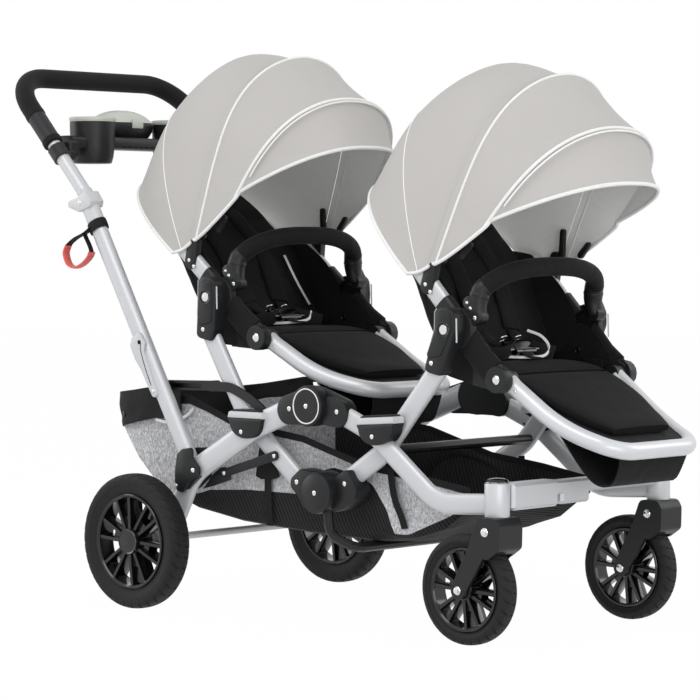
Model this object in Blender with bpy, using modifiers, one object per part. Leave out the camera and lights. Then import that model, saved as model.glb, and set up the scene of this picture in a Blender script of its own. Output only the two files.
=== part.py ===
"""Tandem stroller: two seats, one behind the other, on a folding X-frame with four wheels.

Metres. +X is the way it travels, +Y its left side, +Z up, and the ground is z = 0.
Each side's pieces are built on the left (+Y) and mirrored to the right (-Y).
"""

import math

import bmesh
import bpy
from mathutils import Matrix, Vector

# Wheels
REAR_WHEEL_X = -0.290
REAR_WHEEL_RADIUS = 0.127
REAR_TYRE_BORE = 0.0897
REAR_TYRE_WIDTH = 0.045
WHEEL_TO_LEG = 0.0225
FRONT_WHEEL_X = 0.4863
FRONT_WHEEL_RADIUS = 0.0957
FRONT_TYRE_BORE = 0.0733
FRONT_TYRE_WIDTH = 0.038
CASTER_Y = 0.228
CASTER_X = 0.548
SPOKE_PAIRS = 6
RIB_WIDTH = 0.0044
RIB_FLARE = 11.5
RIM_WALL = 0.006
WHEEL_STEPS = 24
AXLE_RADIUS = 0.007
FRONT_PIN_RADIUS = 0.004
BRACE_PIN_RADIUS = 0.0032
BRAKE_INNER_Y = 0.186
BRAKE_OUTER_Y = 0.2085

# Side frames: the legs share one plane, the seat arms lie just inside it
LEG_Y = 0.2235
LEG_THICKNESS = 0.020
REAR_LEG_HEIGHT = 0.044
FRONT_LEG_HEIGHT = 0.036
ARM_Y = 0.1985
ARM_THICKNESS = 0.020
ARM_HEIGHT = 0.038
UPPER_HUB = (0.122, 0.395)
HUB_RADIUS = 0.0365
HUB_OUTER_Y = 0.249
REAR_CROSSING = (-0.045, 0.345)
FRONT_CROSSING = (0.280, 0.344)
LOWER_HUB = (0.137, 0.240)
LOWER_HUB_RADIUS = 0.0373
CROSS_PIN_RADIUS = 0.014
CAP_WIDTH = 0.085
CAP_DROP = 0.052
CAP_PROUD = 0.0085
U_BAR_RADIUS = 0.009
U_BAR_X = 0.200
U_BAR_Z = 0.143
CROSS_TUBE_RADIUS = 0.009

# Caster housings and forks
HOUSING_RADIUS = 0.0215
HOUSING_TOP = 0.281
HOUSING_BOTTOM = 0.2235
STEM_RADIUS = 0.008
FORK_ARM = 0.008
CROSSBAR_HEIGHT = 0.0235
CROSSBAR_Z = 0.2645
CROSSBAR_DEPTH = 0.030
SLEEVE_HEIGHT = 0.046
SLEEVE_INNER_Y = 0.082

# Handle
HANDLE_PIVOT = (-0.190, 0.264)
HANDLE_LOWER_HEIGHT = 0.034
HANDLE_LOWER_THICKNESS = 0.027
NOTCH_RADIUS = 0.0180
COLLAR_POINT = (-0.4845, 0.772)
HANDLE_TOP = (-0.709, 1.016)
HANDLE_RADIUS = 0.0119
GRIP_RADIUS = 0.019
GRIP_START = (-0.583, 0.877)
HANDLE_CORNER = 0.085
HANDLE_INSERT = 0.110
BRACE_KNEE = (-0.148, 0.421)
BRACE_HANDLE_END = (-0.2740, 0.418)
BRACE_LEG_END = (-0.012, 0.372)
BRACE_Y = 0.2005

# Tray
TRAY_CLAMP_SHARE = 0.335
TRAY_BEHIND = 0.02796
TRAY_ABOVE = 0.02278
CUP_ABOVE_BEAM = 0.005
CUP_Y = 0.112
CUP_RADIUS = 0.045
CUP_FLOOR_RADIUS = 0.038
CUP_HEIGHT = 0.088
CUP_WALL = 0.003
LID_BEHIND = 0.040
LID_LENGTH = 0.150
LID_WIDTH = 0.100

# Seats: two alike, the rear one raised and tipped back
FRONT_SEAT_HUB = (0.418, 0.537)
REAR_SEAT_HUB = (-0.166, 0.586)
REAR_SEAT_TILT = math.radians(6.5)
SEAT_HUB_RADIUS = 0.036
MOUNT_OUTER_Y = 0.217
LEGREST_PIVOT = (0.090, -0.085)
LEGREST_TUBE_RADIUS = 0.0148
LEGREST_REACH = 0.2972
LEGREST_DROP = 0.203
LEGREST_BAR_HALF = 0.107
BUMPER_ROOT = (0.016, 0.042)
BUMPER_APEX = (0.068, 0.108)
BUMPER_PIN = (0.037, 0.021)
BUMPER_Y = 0.163
BUMPER_RADIUS = 0.0155
SEAT_DISC_Y = 0.1725
BACK_TUBE_Y = 0.1625
LEGREST_Y = 0.151
DOME_RADIUS = 0.0085
BUTTON_RADIUS = 0.0105
BACK_ANGLE = math.radians(133.5)

# Canopies, as bows: fore-and-aft apex, measured from the seat hub
CANOPY_PROUD = 0.019
CANOPY_WALL = 0.0025
CANOPY_ROOT = (-0.072, 0.085)
CANOPY_HEM = (-0.300, 0.262)
CANOPY_SEAM = (-0.187, 0.400)
CANOPY_RIDGE = (-0.041, 0.468)
CANOPY_REAR_EDGE = (0.082, 0.439)
CANOPY_FRONT_EDGE = (0.0845, 0.4465)
CANOPY_HOOP = (0.110, 0.4475)
CANOPY_SECOND = (0.211, 0.352)
CANOPY_BRIM = (0.247, 0.258)

# Basket
BASKET_WALL = 0.003
# Each station: x, rim height, floor height, half widths at the rim and the floor
BASKET_STATIONS = [
    (-0.440, 0.385, 0.335, 0.176, 0.150),
    (-0.390, 0.395, 0.265, 0.178, 0.155),
    (-0.330, 0.400, 0.205, 0.178, 0.160),
    (-0.250, 0.398, 0.180, 0.178, 0.162),
    (-0.130, 0.357, 0.165, 0.178, 0.162),
    (0.047, 0.338, 0.160, 0.178, 0.162),
    (0.200, 0.296, 0.1578, 0.178, 0.160),
    (0.320, 0.285, 0.166, 0.176, 0.150),
    (0.440, 0.262, 0.215, 0.170, 0.140),
]

GAP = 0.0003
FLAT_ANGLE = math.radians(1.0)
RUN_GAP = 0.0005

MATERIALS = {
    "silver": ((0.62, 0.63, 0.65), 0.30, 0.55),
    "black_plastic": ((0.03, 0.03, 0.032), 0.42, 0.0),
    "gloss_black": ((0.012, 0.012, 0.013), 0.12, 0.0),
    "rubber": ((0.045, 0.045, 0.047), 0.75, 0.0),
    "foam": ((0.02, 0.02, 0.021), 0.85, 0.0),
    "dark_metal": ((0.06, 0.06, 0.065), 0.35, 0.7),
    "grey_plastic": ((0.66, 0.67, 0.62), 0.4, 0.0),
    "red_plastic": ((0.45, 0.03, 0.03), 0.4, 0.0),
    "canopy_cloth": ((0.60, 0.585, 0.57), 0.85, 0.0),
    "black_cloth": ((0.02, 0.02, 0.021), 0.85, 0.0),
    "basket_cloth": ((0.20, 0.20, 0.21), 0.9, 0.0),
    "chrome": ((0.75, 0.74, 0.70), 0.2, 0.9),
}


# Scene

for old in list(bpy.data.objects):
    bpy.data.objects.remove(old, do_unlink=True)

parts = bpy.data.collections.new("tandem_stroller")
cutters = bpy.data.collections.new("cutters")
bpy.context.scene.collection.children.link(parts)
bpy.context.scene.collection.children.link(cutters)
materials = {}
for slot, (colour, rough, metal) in MATERIALS.items():
    mat = bpy.data.materials.new(slot)
    mat.use_nodes = True
    shader = mat.node_tree.nodes["Principled BSDF"]
    shader.inputs["Base Color"].default_value = (*colour, 1.0)
    shader.inputs["Roughness"].default_value = rough
    shader.inputs["Metallic"].default_value = metal
    mat.diffuse_color = (*colour, 1.0)
    materials[slot] = mat


# Shapes

def baked(obj):
    """The evaluated mesh of a scratch object in world space, with its caps welded. The object goes."""
    bpy.context.view_layer.update()
    graph = bpy.context.evaluated_depsgraph_get()
    mesh = bpy.data.meshes.new_from_object(obj.evaluated_get(graph))
    mesh.transform(obj.matrix_world)
    bpy.data.objects.remove(obj, do_unlink=True)
    return tidied(mesh)


def tidied(mesh):
    bm = bmesh.new()
    bm.from_mesh(mesh)
    bmesh.ops.remove_doubles(bm, verts=bm.verts, dist=0.00001)
    bmesh.ops.recalc_face_normals(bm, faces=bm.faces)
    bm.to_mesh(mesh)
    bm.free()
    return mesh


def simplified(mesh):
    """Flat regions that the booleans split are made whole again, then cut into triangles."""
    bm = bmesh.new()
    bm.from_mesh(mesh)
    bmesh.ops.dissolve_limit(
        bm, angle_limit=FLAT_ANGLE, verts=bm.verts, edges=bm.edges, use_dissolve_boundaries=False
    )
    bmesh.ops.triangulate(bm, faces=bm.faces)
    bmesh.ops.dissolve_degenerate(bm, dist=0.00002, edges=bm.edges)
    bmesh.ops.triangulate(bm, faces=bm.faces)
    loose = [e for e in bm.edges if not e.link_faces]
    bmesh.ops.delete(bm, geom=loose, context="EDGES")
    bm.to_mesh(mesh)
    bm.free()


def scratch(data):
    obj = bpy.data.objects.new("scratch", data)
    cutters.objects.link(obj)
    return obj


def curve_data(points, cyclic=False):
    data = bpy.data.curves.new("path", "CURVE")
    data.dimensions = "3D"
    spline = data.splines.new("POLY")
    spline.points.add(len(points) - 1)
    for target, point in zip(spline.points, points):
        target.co = (*point, 1.0)
    spline.use_cyclic_u = cyclic
    return data


def tube(points, radius, resolution=2):
    """A round bar along 3-D points."""
    data = curve_data(points)
    data.bevel_depth = radius
    data.bevel_resolution = resolution
    data.use_fill_caps = True
    return baked(scratch(data))


def flat_tube(points, height, thickness, sides=10):
    """An oval tube along (x, z) points: height in the side view, thickness across it, about y = 0."""
    profile = curve_data(
        [
            (
                height / 2 * math.cos(2 * math.pi * i / sides),
                thickness / 2 * math.sin(2 * math.pi * i / sides),
                0,
            )
            for i in range(sides)
        ],
        cyclic=True,
    )
    section = scratch(profile)
    data = curve_data([(x, z, 0) for x, z in points])
    data.twist_mode = "Z_UP"
    data.bevel_mode = "OBJECT"
    data.bevel_object = section
    data.use_fill_caps = True
    obj = scratch(data)
    obj.rotation_euler = (math.radians(90), 0, 0)
    mesh = baked(obj)
    bpy.data.objects.remove(section, do_unlink=True)
    return mesh


def slab(outline, y0, y1):
    """A flat plate: an outline of (x, z) points between two planes of y."""
    data = curve_data([(x, z, 0) for x, z in outline], cyclic=True)
    data.dimensions = "2D"
    data.fill_mode = "BOTH"
    data.extrude = abs(y1 - y0) / 2
    obj = scratch(data)
    obj.rotation_euler = (math.radians(90), 0, 0)
    obj.location = (0, (y0 + y1) / 2, 0)
    return baked(obj)


def turned(profile, steps=24):
    """A solid of revolution about z: (radius, z) points, from the top axis down its outer side."""
    closed = profile[0][0] > 0
    mesh = bpy.data.meshes.new("profile")
    edges = [(i, i + 1) for i in range(len(profile) - 1)]
    if closed:
        edges.append((len(profile) - 1, 0))
    mesh.from_pydata([(r, 0, z) for r, z in profile], edges, [])
    obj = scratch(mesh)
    screw = obj.modifiers.new("Screw", "SCREW")
    screw.axis = "Z"
    screw.steps = steps
    screw.render_steps = steps
    screw.use_merge_vertices = True
    screw.merge_threshold = 0.00001
    return baked(obj)


def rod(start, end, radius, sides=14, tip=None):
    """A cylinder, or a cone when it has a tip radius, between two points."""
    start, end = Vector(start), Vector(end)
    bm = bmesh.new()
    bmesh.ops.create_cone(
        bm,
        cap_ends=True,
        segments=sides,
        radius1=radius,
        radius2=radius if tip is None else tip,
        depth=(end - start).length,
    )
    mesh = bpy.data.meshes.new("rod")
    bm.to_mesh(mesh)
    bm.free()
    turn = (end - start).to_track_quat("Z", "Y").to_matrix().to_4x4()
    mesh.transform(Matrix.Translation((start + end) / 2) @ turn)
    return mesh


def y_rod(centre, y0, y1, radius, sides=16):
    x, z = centre
    return rod((x, y0, z), (x, y1, z), radius, sides)


def block(low, high, bevel=0.0):
    """A box between two corners, its edges rounded with a bevel."""
    low, high = Vector(low), Vector(high)
    bm = bmesh.new()
    bmesh.ops.create_cube(bm, size=1.0)
    bmesh.ops.scale(bm, vec=high - low, verts=bm.verts)
    bmesh.ops.translate(bm, vec=(low + high) / 2, verts=bm.verts)
    if bevel:
        bmesh.ops.bevel(bm, geom=bm.edges, offset=bevel, segments=1, affect="EDGES", profile=0.5)
    mesh = bpy.data.meshes.new("block")
    bm.to_mesh(mesh)
    bm.free()
    return mesh


def combined(base, others, operation):
    """Boolean of a mesh with others, one after another."""
    for other in others:
        target = scratch(base)
        tool = scratch(other)
        modifier = target.modifiers.new("Boolean", "BOOLEAN")
        modifier.operation = operation
        modifier.solver = "EXACT"
        modifier.object = tool
        bpy.context.view_layer.update()
        base = baked(target)
        bpy.data.objects.remove(tool, do_unlink=True)
    return base


def union(base, *others):
    return combined(base, others, "UNION")


def cut(base, *others):
    return combined(base, others, "DIFFERENCE")


def mirrored(mesh):
    """The right side's copy of a left side's mesh."""
    copy = mesh.copy()
    copy.transform(Matrix.Scale(-1, 4, (0, 1, 0)))
    copy.flip_normals()
    return copy


def moved(mesh, offset):
    copy = mesh.copy()
    copy.transform(Matrix.Translation(offset))
    return copy


def part(name, mesh, slot, carrier, origin=(0, 0, 0), smooth=True):
    """A named object, its origin on its own axis, carried by its body's empty."""
    simplified(mesh)
    mesh.transform(Matrix.Translation(-Vector(origin)))
    mesh.name = name
    mesh.materials.clear()
    mesh.materials.append(materials[slot])
    if smooth:
        mesh.shade_smooth()
        mesh.set_sharp_from_angle(angle=math.radians(35))
    obj = bpy.data.objects.new(name, mesh)
    parts.objects.link(obj)
    obj.parent = carrier
    obj.location = Vector(origin) - carrier.matrix_world.translation
    return obj


def body(name, axis_point, carrier=None):
    """An empty on a moving body's axis."""
    obj = bpy.data.objects.new(name, None)
    parts.objects.link(obj)
    obj.empty_display_size = 0.03
    obj.location = axis_point
    if carrier:
        obj.parent = carrier
        obj.location = Vector(axis_point) - carrier.matrix_world.translation
    bpy.context.view_layer.update()
    return obj


def pair(name, left_mesh, slot, carriers, origin=(0, 0, 0)):
    """A left and a right piece from the left side's mesh."""
    x, y, z = origin
    part(name + "_R", mirrored(left_mesh), slot, carriers[0], (x, -y, z))
    part(name + "_L", left_mesh, slot, carriers[1], origin)


# Paths and outlines

def arc_points(centre, radius, start, end, count):
    """Points on an arc in (x, z), angles in radians from +x towards +z."""
    cx, cz = centre
    return [
        (
            cx + radius * math.cos(start + (end - start) * i / count),
            cz + radius * math.sin(start + (end - start) * i / count),
        )
        for i in range(count + 1)
    ]


def filleted(points, radius, steps=5):
    """A path whose corners are rounded, all to one radius or each to its own."""
    points = [Vector(p) for p in points]
    corners = len(points) - 2
    radii = radius if isinstance(radius, list) else [radius] * corners
    counts = steps if isinstance(steps, list) else [steps] * corners
    path = [points[0]]
    for before, corner, after, bend, count in zip(points, points[1:], points[2:], radii, counts):
        a = (before - corner).normalized()
        b = (after - corner).normalized()
        half = a.angle(b) / 2
        reach = min(
            bend / math.tan(half),
            0.49 * (before - corner).length,
            0.49 * (after - corner).length,
        )
        r = reach * math.tan(half)
        centre = corner + (a + b).normalized() * (r / math.sin(half))
        start = corner + a * reach - centre
        end = corner + b * reach - centre
        turn = start.angle(end)
        for i in range(count + 1):
            t = i / count
            path.append(
                centre
                + (start * math.sin((1 - t) * turn) + end * math.sin(t * turn)) / math.sin(turn)
            )
    path.append(points[-1])
    return [tuple(p) for p in path]


def stadium(a, b, radius_a, radius_b, count=8):
    """The outline round two circles, as a link or an arm has."""
    ax, az = a
    bx, bz = b
    along = math.atan2(bz - az, bx - ax)
    span = math.hypot(bx - ax, bz - az)
    lean = math.asin((radius_a - radius_b) / span)
    quarter = math.pi / 2 - lean
    far = arc_points(b, radius_b, along - quarter, along + quarter, count)
    near = arc_points(a, radius_a, along + quarter, along + 2 * math.pi - quarter, count)
    return far + near


def local(hub, tilt, point):
    """A point of the seat's own side view, set at its hub and tipped back."""
    x, z = point
    return (
        hub[0] + x * math.cos(tilt) - z * math.sin(tilt),
        hub[1] + x * math.sin(tilt) + z * math.cos(tilt),
    )


# Bodies

leg_outer = LEG_Y + LEG_THICKNESS / 2
leg_inner = LEG_Y - LEG_THICKNESS / 2
arm_outer = ARM_Y + ARM_THICKNESS / 2
arm_inner = ARM_Y - ARM_THICKNESS / 2
rear_track_half = leg_outer + WHEEL_TO_LEG + REAR_TYRE_WIDTH / 2
canopy_half_width = BUMPER_Y + CANOPY_PROUD
rear_axle_at = (REAR_WHEEL_X, REAR_WHEEL_RADIUS)
front_axle_at = (FRONT_WHEEL_X, FRONT_WHEEL_RADIUS)
handle_way = (
    Vector((COLLAR_POINT[0], 0, COLLAR_POINT[1])) - Vector((HANDLE_PIVOT[0], 0, HANDLE_PIVOT[1]))
).normalized()

root = body("rear_frame", (0, 0, 0))
front_frame = body("front_frame", (UPPER_HUB[0], 0, UPPER_HUB[1]), root)
rear_arms = body("rear_arms", (REAR_CROSSING[0], 0, REAR_CROSSING[1]), root)
front_arms = body("front_arms", (FRONT_CROSSING[0], 0, FRONT_CROSSING[1]), front_frame)
handle_lower = body("handle_lower", (HANDLE_PIVOT[0], 0, HANDLE_PIVOT[1]), root)
handle_upper = body("handle_upper", (COLLAR_POINT[0], 0, COLLAR_POINT[1]), handle_lower)
rear_wheels = [
    body("rear_wheel_" + tag, (REAR_WHEEL_X, side * rear_track_half, REAR_WHEEL_RADIUS), root)
    for tag, side in (("R", -1), ("L", 1))
]
casters = [
    body("caster_" + tag, (CASTER_X, side * CASTER_Y, HOUSING_BOTTOM), front_frame)
    for tag, side in (("R", -1), ("L", 1))
]
front_wheels = [
    body("front_wheel_" + tag, (FRONT_WHEEL_X, side * CASTER_Y, FRONT_WHEEL_RADIUS), caster)
    for (tag, side), caster in zip((("R", -1), ("L", 1)), casters)
]


# Rear frame

def knuckle_cover(hub, end, half_height, y0, y1):
    """The black cover that runs from a hub disc on to the end of a leg."""
    return slab(stadium(hub, end, HUB_RADIUS * 0.93, half_height, 6), y0, y1)


def leg_cap(centre_x, top_z):
    """The D-shaped cap on a leg over its crossing: a square band above a rounded apron."""
    half = CAP_WIDTH / 2
    band = 0.018
    outline = [(centre_x - half + 0.002, top_z), (centre_x + half - 0.002, top_z + 0.003)]
    outline += [(centre_x + half, top_z - band)]
    steps = 10
    for i in range(1, steps):
        angle = math.pi * i / steps
        outline.append(
            (
                centre_x + half * 0.94 * math.cos(angle),
                top_z - band - (CAP_DROP - band) * math.sin(angle) ** 0.8,
            )
        )
    outline += [(centre_x - half, top_z - band)]
    return slab(outline, leg_inner + 0.0005, leg_outer + CAP_PROUD)


rear_leg_path = filleted(
    [
        (UPPER_HUB[0] - 0.030, UPPER_HUB[1] + 0.002),
        (-0.030, 0.350),
        (-0.192, 0.258),
        (-0.240, 0.168),
        rear_axle_at,
    ],
    0.11,
    3,
)
rear_leg = moved(flat_tube(rear_leg_path, REAR_LEG_HEIGHT, LEG_THICKNESS), (0, LEG_Y, 0))
rear_ear = knuckle_cover(UPPER_HUB, (UPPER_HUB[0] - 0.056, UPPER_HUB[1] - 0.009), 0.0265,
                         LEG_Y + 0.001, leg_outer + 0.004)
hub_disc = y_rod(UPPER_HUB, LEG_Y + 0.0012, HUB_OUTER_Y, HUB_RADIUS, 22)
foot_boss = y_rod(rear_axle_at, leg_inner - 0.004, leg_outer + 0.004, 0.019)
bracket_outline = filleted(
    [
        (-0.214, 0.262), (-0.207, 0.303), (-0.156, 0.306), (-0.150, 0.296),
        (-0.161, 0.250), (-0.192, 0.227), (-0.206, 0.224), (-0.214, 0.262),
    ],
    0.008,
    2,
)[:-1]
cheek_gap = HANDLE_LOWER_THICKNESS / 2 + GAP
outer_cheek = slab(bracket_outline, LEG_Y + cheek_gap, LEG_Y + cheek_gap + 0.004)
inner_cheek = slab(bracket_outline, LEG_Y - cheek_gap - 0.004, LEG_Y - cheek_gap)
bracket_web = slab(
    [(-0.2135, 0.262), (-0.190, 0.243), (-0.162, 0.253), (-0.192, 0.2275), (-0.2055, 0.2245)],
    LEG_Y - cheek_gap - 0.002,
    LEG_Y + cheek_gap + 0.002,
)
bracket_pin = y_rod(HANDLE_PIVOT, LEG_Y - cheek_gap - 0.003, LEG_Y + cheek_gap + 0.003,
                    FRONT_PIN_RADIUS, 12)
notch = slab(
    stadium(HANDLE_PIVOT, (HANDLE_PIVOT[0] - 0.028, HANDLE_PIVOT[1] + 0.060), NOTCH_RADIUS,
            NOTCH_RADIUS + 0.003, 9),
    LEG_Y - cheek_gap - 0.0002, LEG_Y + cheek_gap + 0.0002,
)
inner_hub_clear = y_rod(UPPER_HUB, 0.19, LEG_Y + 0.0008, HUB_RADIUS * 0.93 + 0.0008, 22)
rear_leg = union(rear_leg, foot_boss, leg_cap(-0.0385, 0.385))
rear_leg = union(cut(rear_leg, inner_hub_clear), rear_ear, hub_disc)
rear_leg = cut(union(rear_leg, bracket_web, outer_cheek, inner_cheek), notch)
rear_leg = union(rear_leg, bracket_pin)
rear_leg = cut(
    rear_leg, y_rod(rear_axle_at, 0.15, 0.30, AXLE_RADIUS + GAP, 20),
    y_rod(REAR_CROSSING, 0.15, leg_inner + 0.006, FRONT_PIN_RADIUS + RUN_GAP, 12),
    y_rod(BRACE_LEG_END, 0.19, leg_inner + 0.0046, BRACE_PIN_RADIUS + RUN_GAP, 12),
)
pair("rear_leg", rear_leg, "silver", (root, root), (UPPER_HUB[0], LEG_Y, UPPER_HUB[1]))

axle_end = rear_track_half + REAR_TYRE_WIDTH / 2 - 0.006
part(
    "rear_axle",
    rod((REAR_WHEEL_X, -axle_end, REAR_WHEEL_RADIUS), (REAR_WHEEL_X, axle_end, REAR_WHEEL_RADIUS),
        AXLE_RADIUS, 20),
    "silver", root, (REAR_WHEEL_X, 0, REAR_WHEEL_RADIUS),
)


# Front frame

front_leg_path = filleted(
    [
        (UPPER_HUB[0] + 0.030, UPPER_HUB[1] + 0.001),
        (0.262, 0.352),
        (0.412, 0.237),
        (CASTER_X - HOUSING_RADIUS + 0.006, 0.2435),
    ],
    0.10,
    3,
)
front_leg = moved(flat_tube(front_leg_path, FRONT_LEG_HEIGHT, LEG_THICKNESS), (0, LEG_Y, 0))
front_ear = knuckle_cover(UPPER_HUB, (UPPER_HUB[0] + 0.062, UPPER_HUB[1] - 0.010), 0.0245,
                          LEG_Y - 0.014, leg_outer + 0.0035)
ear_relief = y_rod(UPPER_HUB, LEG_Y + 0.0005, 0.30, HUB_RADIUS + 0.0008, 22)
front_leg = union(front_leg, front_ear, leg_cap(0.282, 0.386))
front_leg = cut(front_leg, ear_relief)
housing = moved(
    turned(
        [(0, HOUSING_TOP), (HOUSING_RADIUS, HOUSING_TOP), (HOUSING_RADIUS, HOUSING_BOTTOM),
         (0, HOUSING_BOTTOM)],
        20,
    ),
    (CASTER_X, CASTER_Y, 0),
)
stem_bore = rod(
    (CASTER_X, CASTER_Y, HOUSING_BOTTOM - 0.01), (CASTER_X, CASTER_Y, HOUSING_TOP - 0.010),
    STEM_RADIUS + RUN_GAP, 20,
)
front_leg = cut(
    union(front_leg, housing), stem_bore,
    y_rod(FRONT_CROSSING, 0.15, leg_inner + 0.006, FRONT_PIN_RADIUS + RUN_GAP, 12),
)
pair("front_leg", front_leg, "silver", (front_frame, front_frame),
     (UPPER_HUB[0], LEG_Y, UPPER_HUB[1]))

bar_end = CASTER_Y - HOUSING_RADIUS - GAP
crossbar = block(
    (CASTER_X - CROSSBAR_DEPTH / 2, -bar_end, CROSSBAR_Z - CROSSBAR_HEIGHT / 2),
    (CASTER_X + CROSSBAR_DEPTH / 2, bar_end, CROSSBAR_Z + CROSSBAR_HEIGHT / 2),
    0.004,
)
sleeve = block(
    (CASTER_X - CROSSBAR_DEPTH / 2 - 0.003, -bar_end, CROSSBAR_Z + 0.0145 - SLEEVE_HEIGHT),
    (CASTER_X + CROSSBAR_DEPTH / 2 + 0.003, -SLEEVE_INNER_Y, CROSSBAR_Z + 0.0145),
    0.005,
)
lug = block(
    (CASTER_X - 0.012, -0.068, CROSSBAR_Z - 0.030), (CASTER_X + 0.013, 0.012, CROSSBAR_Z), 0.005,
)
part("front_crossbar", union(crossbar, sleeve, lug), "silver", front_frame,
     (CASTER_X, 0, CROSSBAR_Z))

part(
    "pivot_cross_tube",
    rod((FRONT_CROSSING[0], -arm_inner + GAP, FRONT_CROSSING[1] - 0.022),
        (FRONT_CROSSING[0], arm_inner - GAP, FRONT_CROSSING[1] - 0.022), CROSS_TUBE_RADIUS, 12),
    "dark_metal", front_arms, (FRONT_CROSSING[0], 0, FRONT_CROSSING[1]),
)


# Casters

def fork():
    """A caster fork on the left: stem, yoke over the tyre, and an arm down each side."""
    inner = FRONT_TYRE_WIDTH / 2 + 0.004
    outer = inner + FORK_ARM
    top = HOUSING_BOTTOM - GAP
    clear = FRONT_WHEEL_RADIUS + 0.005
    arm = stadium((0.546, 0.199), front_axle_at, 0.020, 0.0155)
    yoke = filleted(
        [
            (0.550, top), (0.570, top), (0.578, 0.209), (0.577, 0.170), (0.548, 0.150),
            (0.512, 0.178), (0.530, top), (0.550, top),
        ],
        0.010,
        2,
    )[:-1]
    mesh = slab(yoke, CASTER_Y - outer, CASTER_Y + outer)
    tyre_space = y_rod(front_axle_at, CASTER_Y - inner, CASTER_Y + inner, clear, 40)
    arms = [
        slab(arm, CASTER_Y + outer - 0.0004, CASTER_Y + inner),
        slab(arm, CASTER_Y - outer + 0.0004, CASTER_Y - inner),
    ]
    mesh = cut(mesh, tyre_space)
    mesh = union(mesh, *arms)
    stem = rod((CASTER_X, CASTER_Y, 0.200), (CASTER_X, CASTER_Y, HOUSING_TOP - 0.013),
               STEM_RADIUS, 20)
    pin = y_rod(front_axle_at, CASTER_Y - outer + 0.001, CASTER_Y + outer - 0.001,
                FRONT_PIN_RADIUS, 16)
    return union(mesh, stem, pin)


pair("fork", fork(), "black_plastic", casters, (CASTER_X, CASTER_Y, HOUSING_BOTTOM))


# Wheels

def tyre(radius, bore, width):
    """A tyre about z: rounded tread and a stepped side wall."""
    half = width / 2
    return turned(
        [
            (bore, half * 0.74), (radius - 0.018, half * 0.94), (radius - 0.008, half),
            (radius, half * 0.48), (radius, -half * 0.48), (radius - 0.008, -half),
            (radius - 0.018, -half * 0.94), (bore, -half * 0.74),
        ],
        WHEEL_STEPS,
    )


def rim(outer, width, hub_radius, hub_half, bore, through):
    """A rim about z: a barrel, a hub and pairs of ribs that part from the hub like tuning forks."""
    half = width / 2
    barrel = turned(
        [(outer - RIM_WALL, half), (outer, half), (outer, -half), (outer - RIM_WALL, -half)],
        WHEEL_STEPS,
    )
    reach = outer - RIM_WALL / 2
    inner_spread = hub_radius * 0.27
    outer_spread = outer * math.sin(math.radians(RIB_FLARE))
    ribs = []
    for i in range(SPOKE_PAIRS):
        for side in (-1, 1):
            bm = bmesh.new()
            bmesh.ops.create_cube(bm, size=1.0)
            for v in bm.verts:
                far = v.co.x > 0
                centre = side * (outer_spread if far else inner_spread)
                deep = (half * 0.86) if far else hub_half * 0.84
                v.co = Vector(
                    (reach if far else hub_radius * 0.6, centre + RIB_WIDTH * v.co.y, 2 * deep * v.co.z)
                )
            mesh_rib = bpy.data.meshes.new("rib")
            bmesh.ops.recalc_face_normals(bm, faces=bm.faces)
            bm.to_mesh(mesh_rib)
            bm.free()
            mesh_rib.transform(Matrix.Rotation(2 * math.pi * (i + 0.25) / SPOKE_PAIRS, 4, "Z"))
            ribs.append(mesh_rib)
    hub = turned(
        [(0, hub_half + 0.002), (hub_radius - 0.002, hub_half + 0.002), (hub_radius, hub_half),
         (hub_radius, -hub_half), (0, -hub_half)],
        14,
    )
    mesh = union(hub, *ribs, barrel)
    bore_top = hub_half + 0.01 if through else hub_half - 0.004
    return cut(mesh, rod((0, 0, -hub_half - 0.01), (0, 0, bore_top), bore, 20))


def on_axle(mesh, x, y, z):
    """A wheel made about z, laid with its +z end facing the left."""
    copy = mesh.copy()
    copy.transform(Matrix.Translation((x, y, z)) @ Matrix.Rotation(math.radians(-90), 4, "X"))
    return copy


def wheel_pair(label, x, radius, bore, width, half_track, carriers, hub_radius, axle_bore, through):
    rim_mesh = rim(bore - GAP, width * 0.80, hub_radius, width * 0.46, axle_bore, through)
    for mesh, kind, slot in (
        (tyre(radius, bore, width), "tyre", "rubber"),
        (rim_mesh, "rim", "gloss_black"),
    ):
        placed = on_axle(mesh, x, half_track, radius)
        pair(f"{label}_{kind}", placed, slot, carriers, (x, half_track, radius))


wheel_pair("rear", REAR_WHEEL_X, REAR_WHEEL_RADIUS, REAR_TYRE_BORE, REAR_TYRE_WIDTH,
           rear_track_half, rear_wheels, 0.024, AXLE_RADIUS + RUN_GAP, False)
wheel_pair("front", FRONT_WHEEL_X, FRONT_WHEEL_RADIUS, FRONT_TYRE_BORE, FRONT_TYRE_WIDTH,
           CASTER_Y, front_wheels, 0.017, FRONT_PIN_RADIUS + RUN_GAP, True)


# Brake

brake = body("brake", (REAR_WHEEL_X, 0, REAR_WHEEL_RADIUS), root)
pedal_end = (REAR_WHEEL_X - 0.052, REAR_WHEEL_RADIUS + 0.033)
pedal_hub = y_rod(rear_axle_at, -BRAKE_OUTER_Y, -BRAKE_INNER_Y, 0.0145, 18)
lever = slab(stadium(rear_axle_at, pedal_end, 0.0125, 0.008), -BRAKE_OUTER_Y + 0.003,
             -BRAKE_INNER_Y - 0.003)
tread = block((pedal_end[0] - 0.022, -BRAKE_OUTER_Y - 0.030, pedal_end[1] - 0.006),
              (pedal_end[0] + 0.014, -BRAKE_INNER_Y + 0.012, pedal_end[1] + 0.009), 0.004)
axle_way = y_rod(rear_axle_at, -BRAKE_OUTER_Y - 0.01, -BRAKE_INNER_Y + 0.01,
                 AXLE_RADIUS + RUN_GAP, 20)
part("brake_pedal", cut(union(pedal_hub, lever, tread), axle_way), "red_plastic", brake,
     (REAR_WHEEL_X, 0, REAR_WHEEL_RADIUS))


# Seat arms

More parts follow.
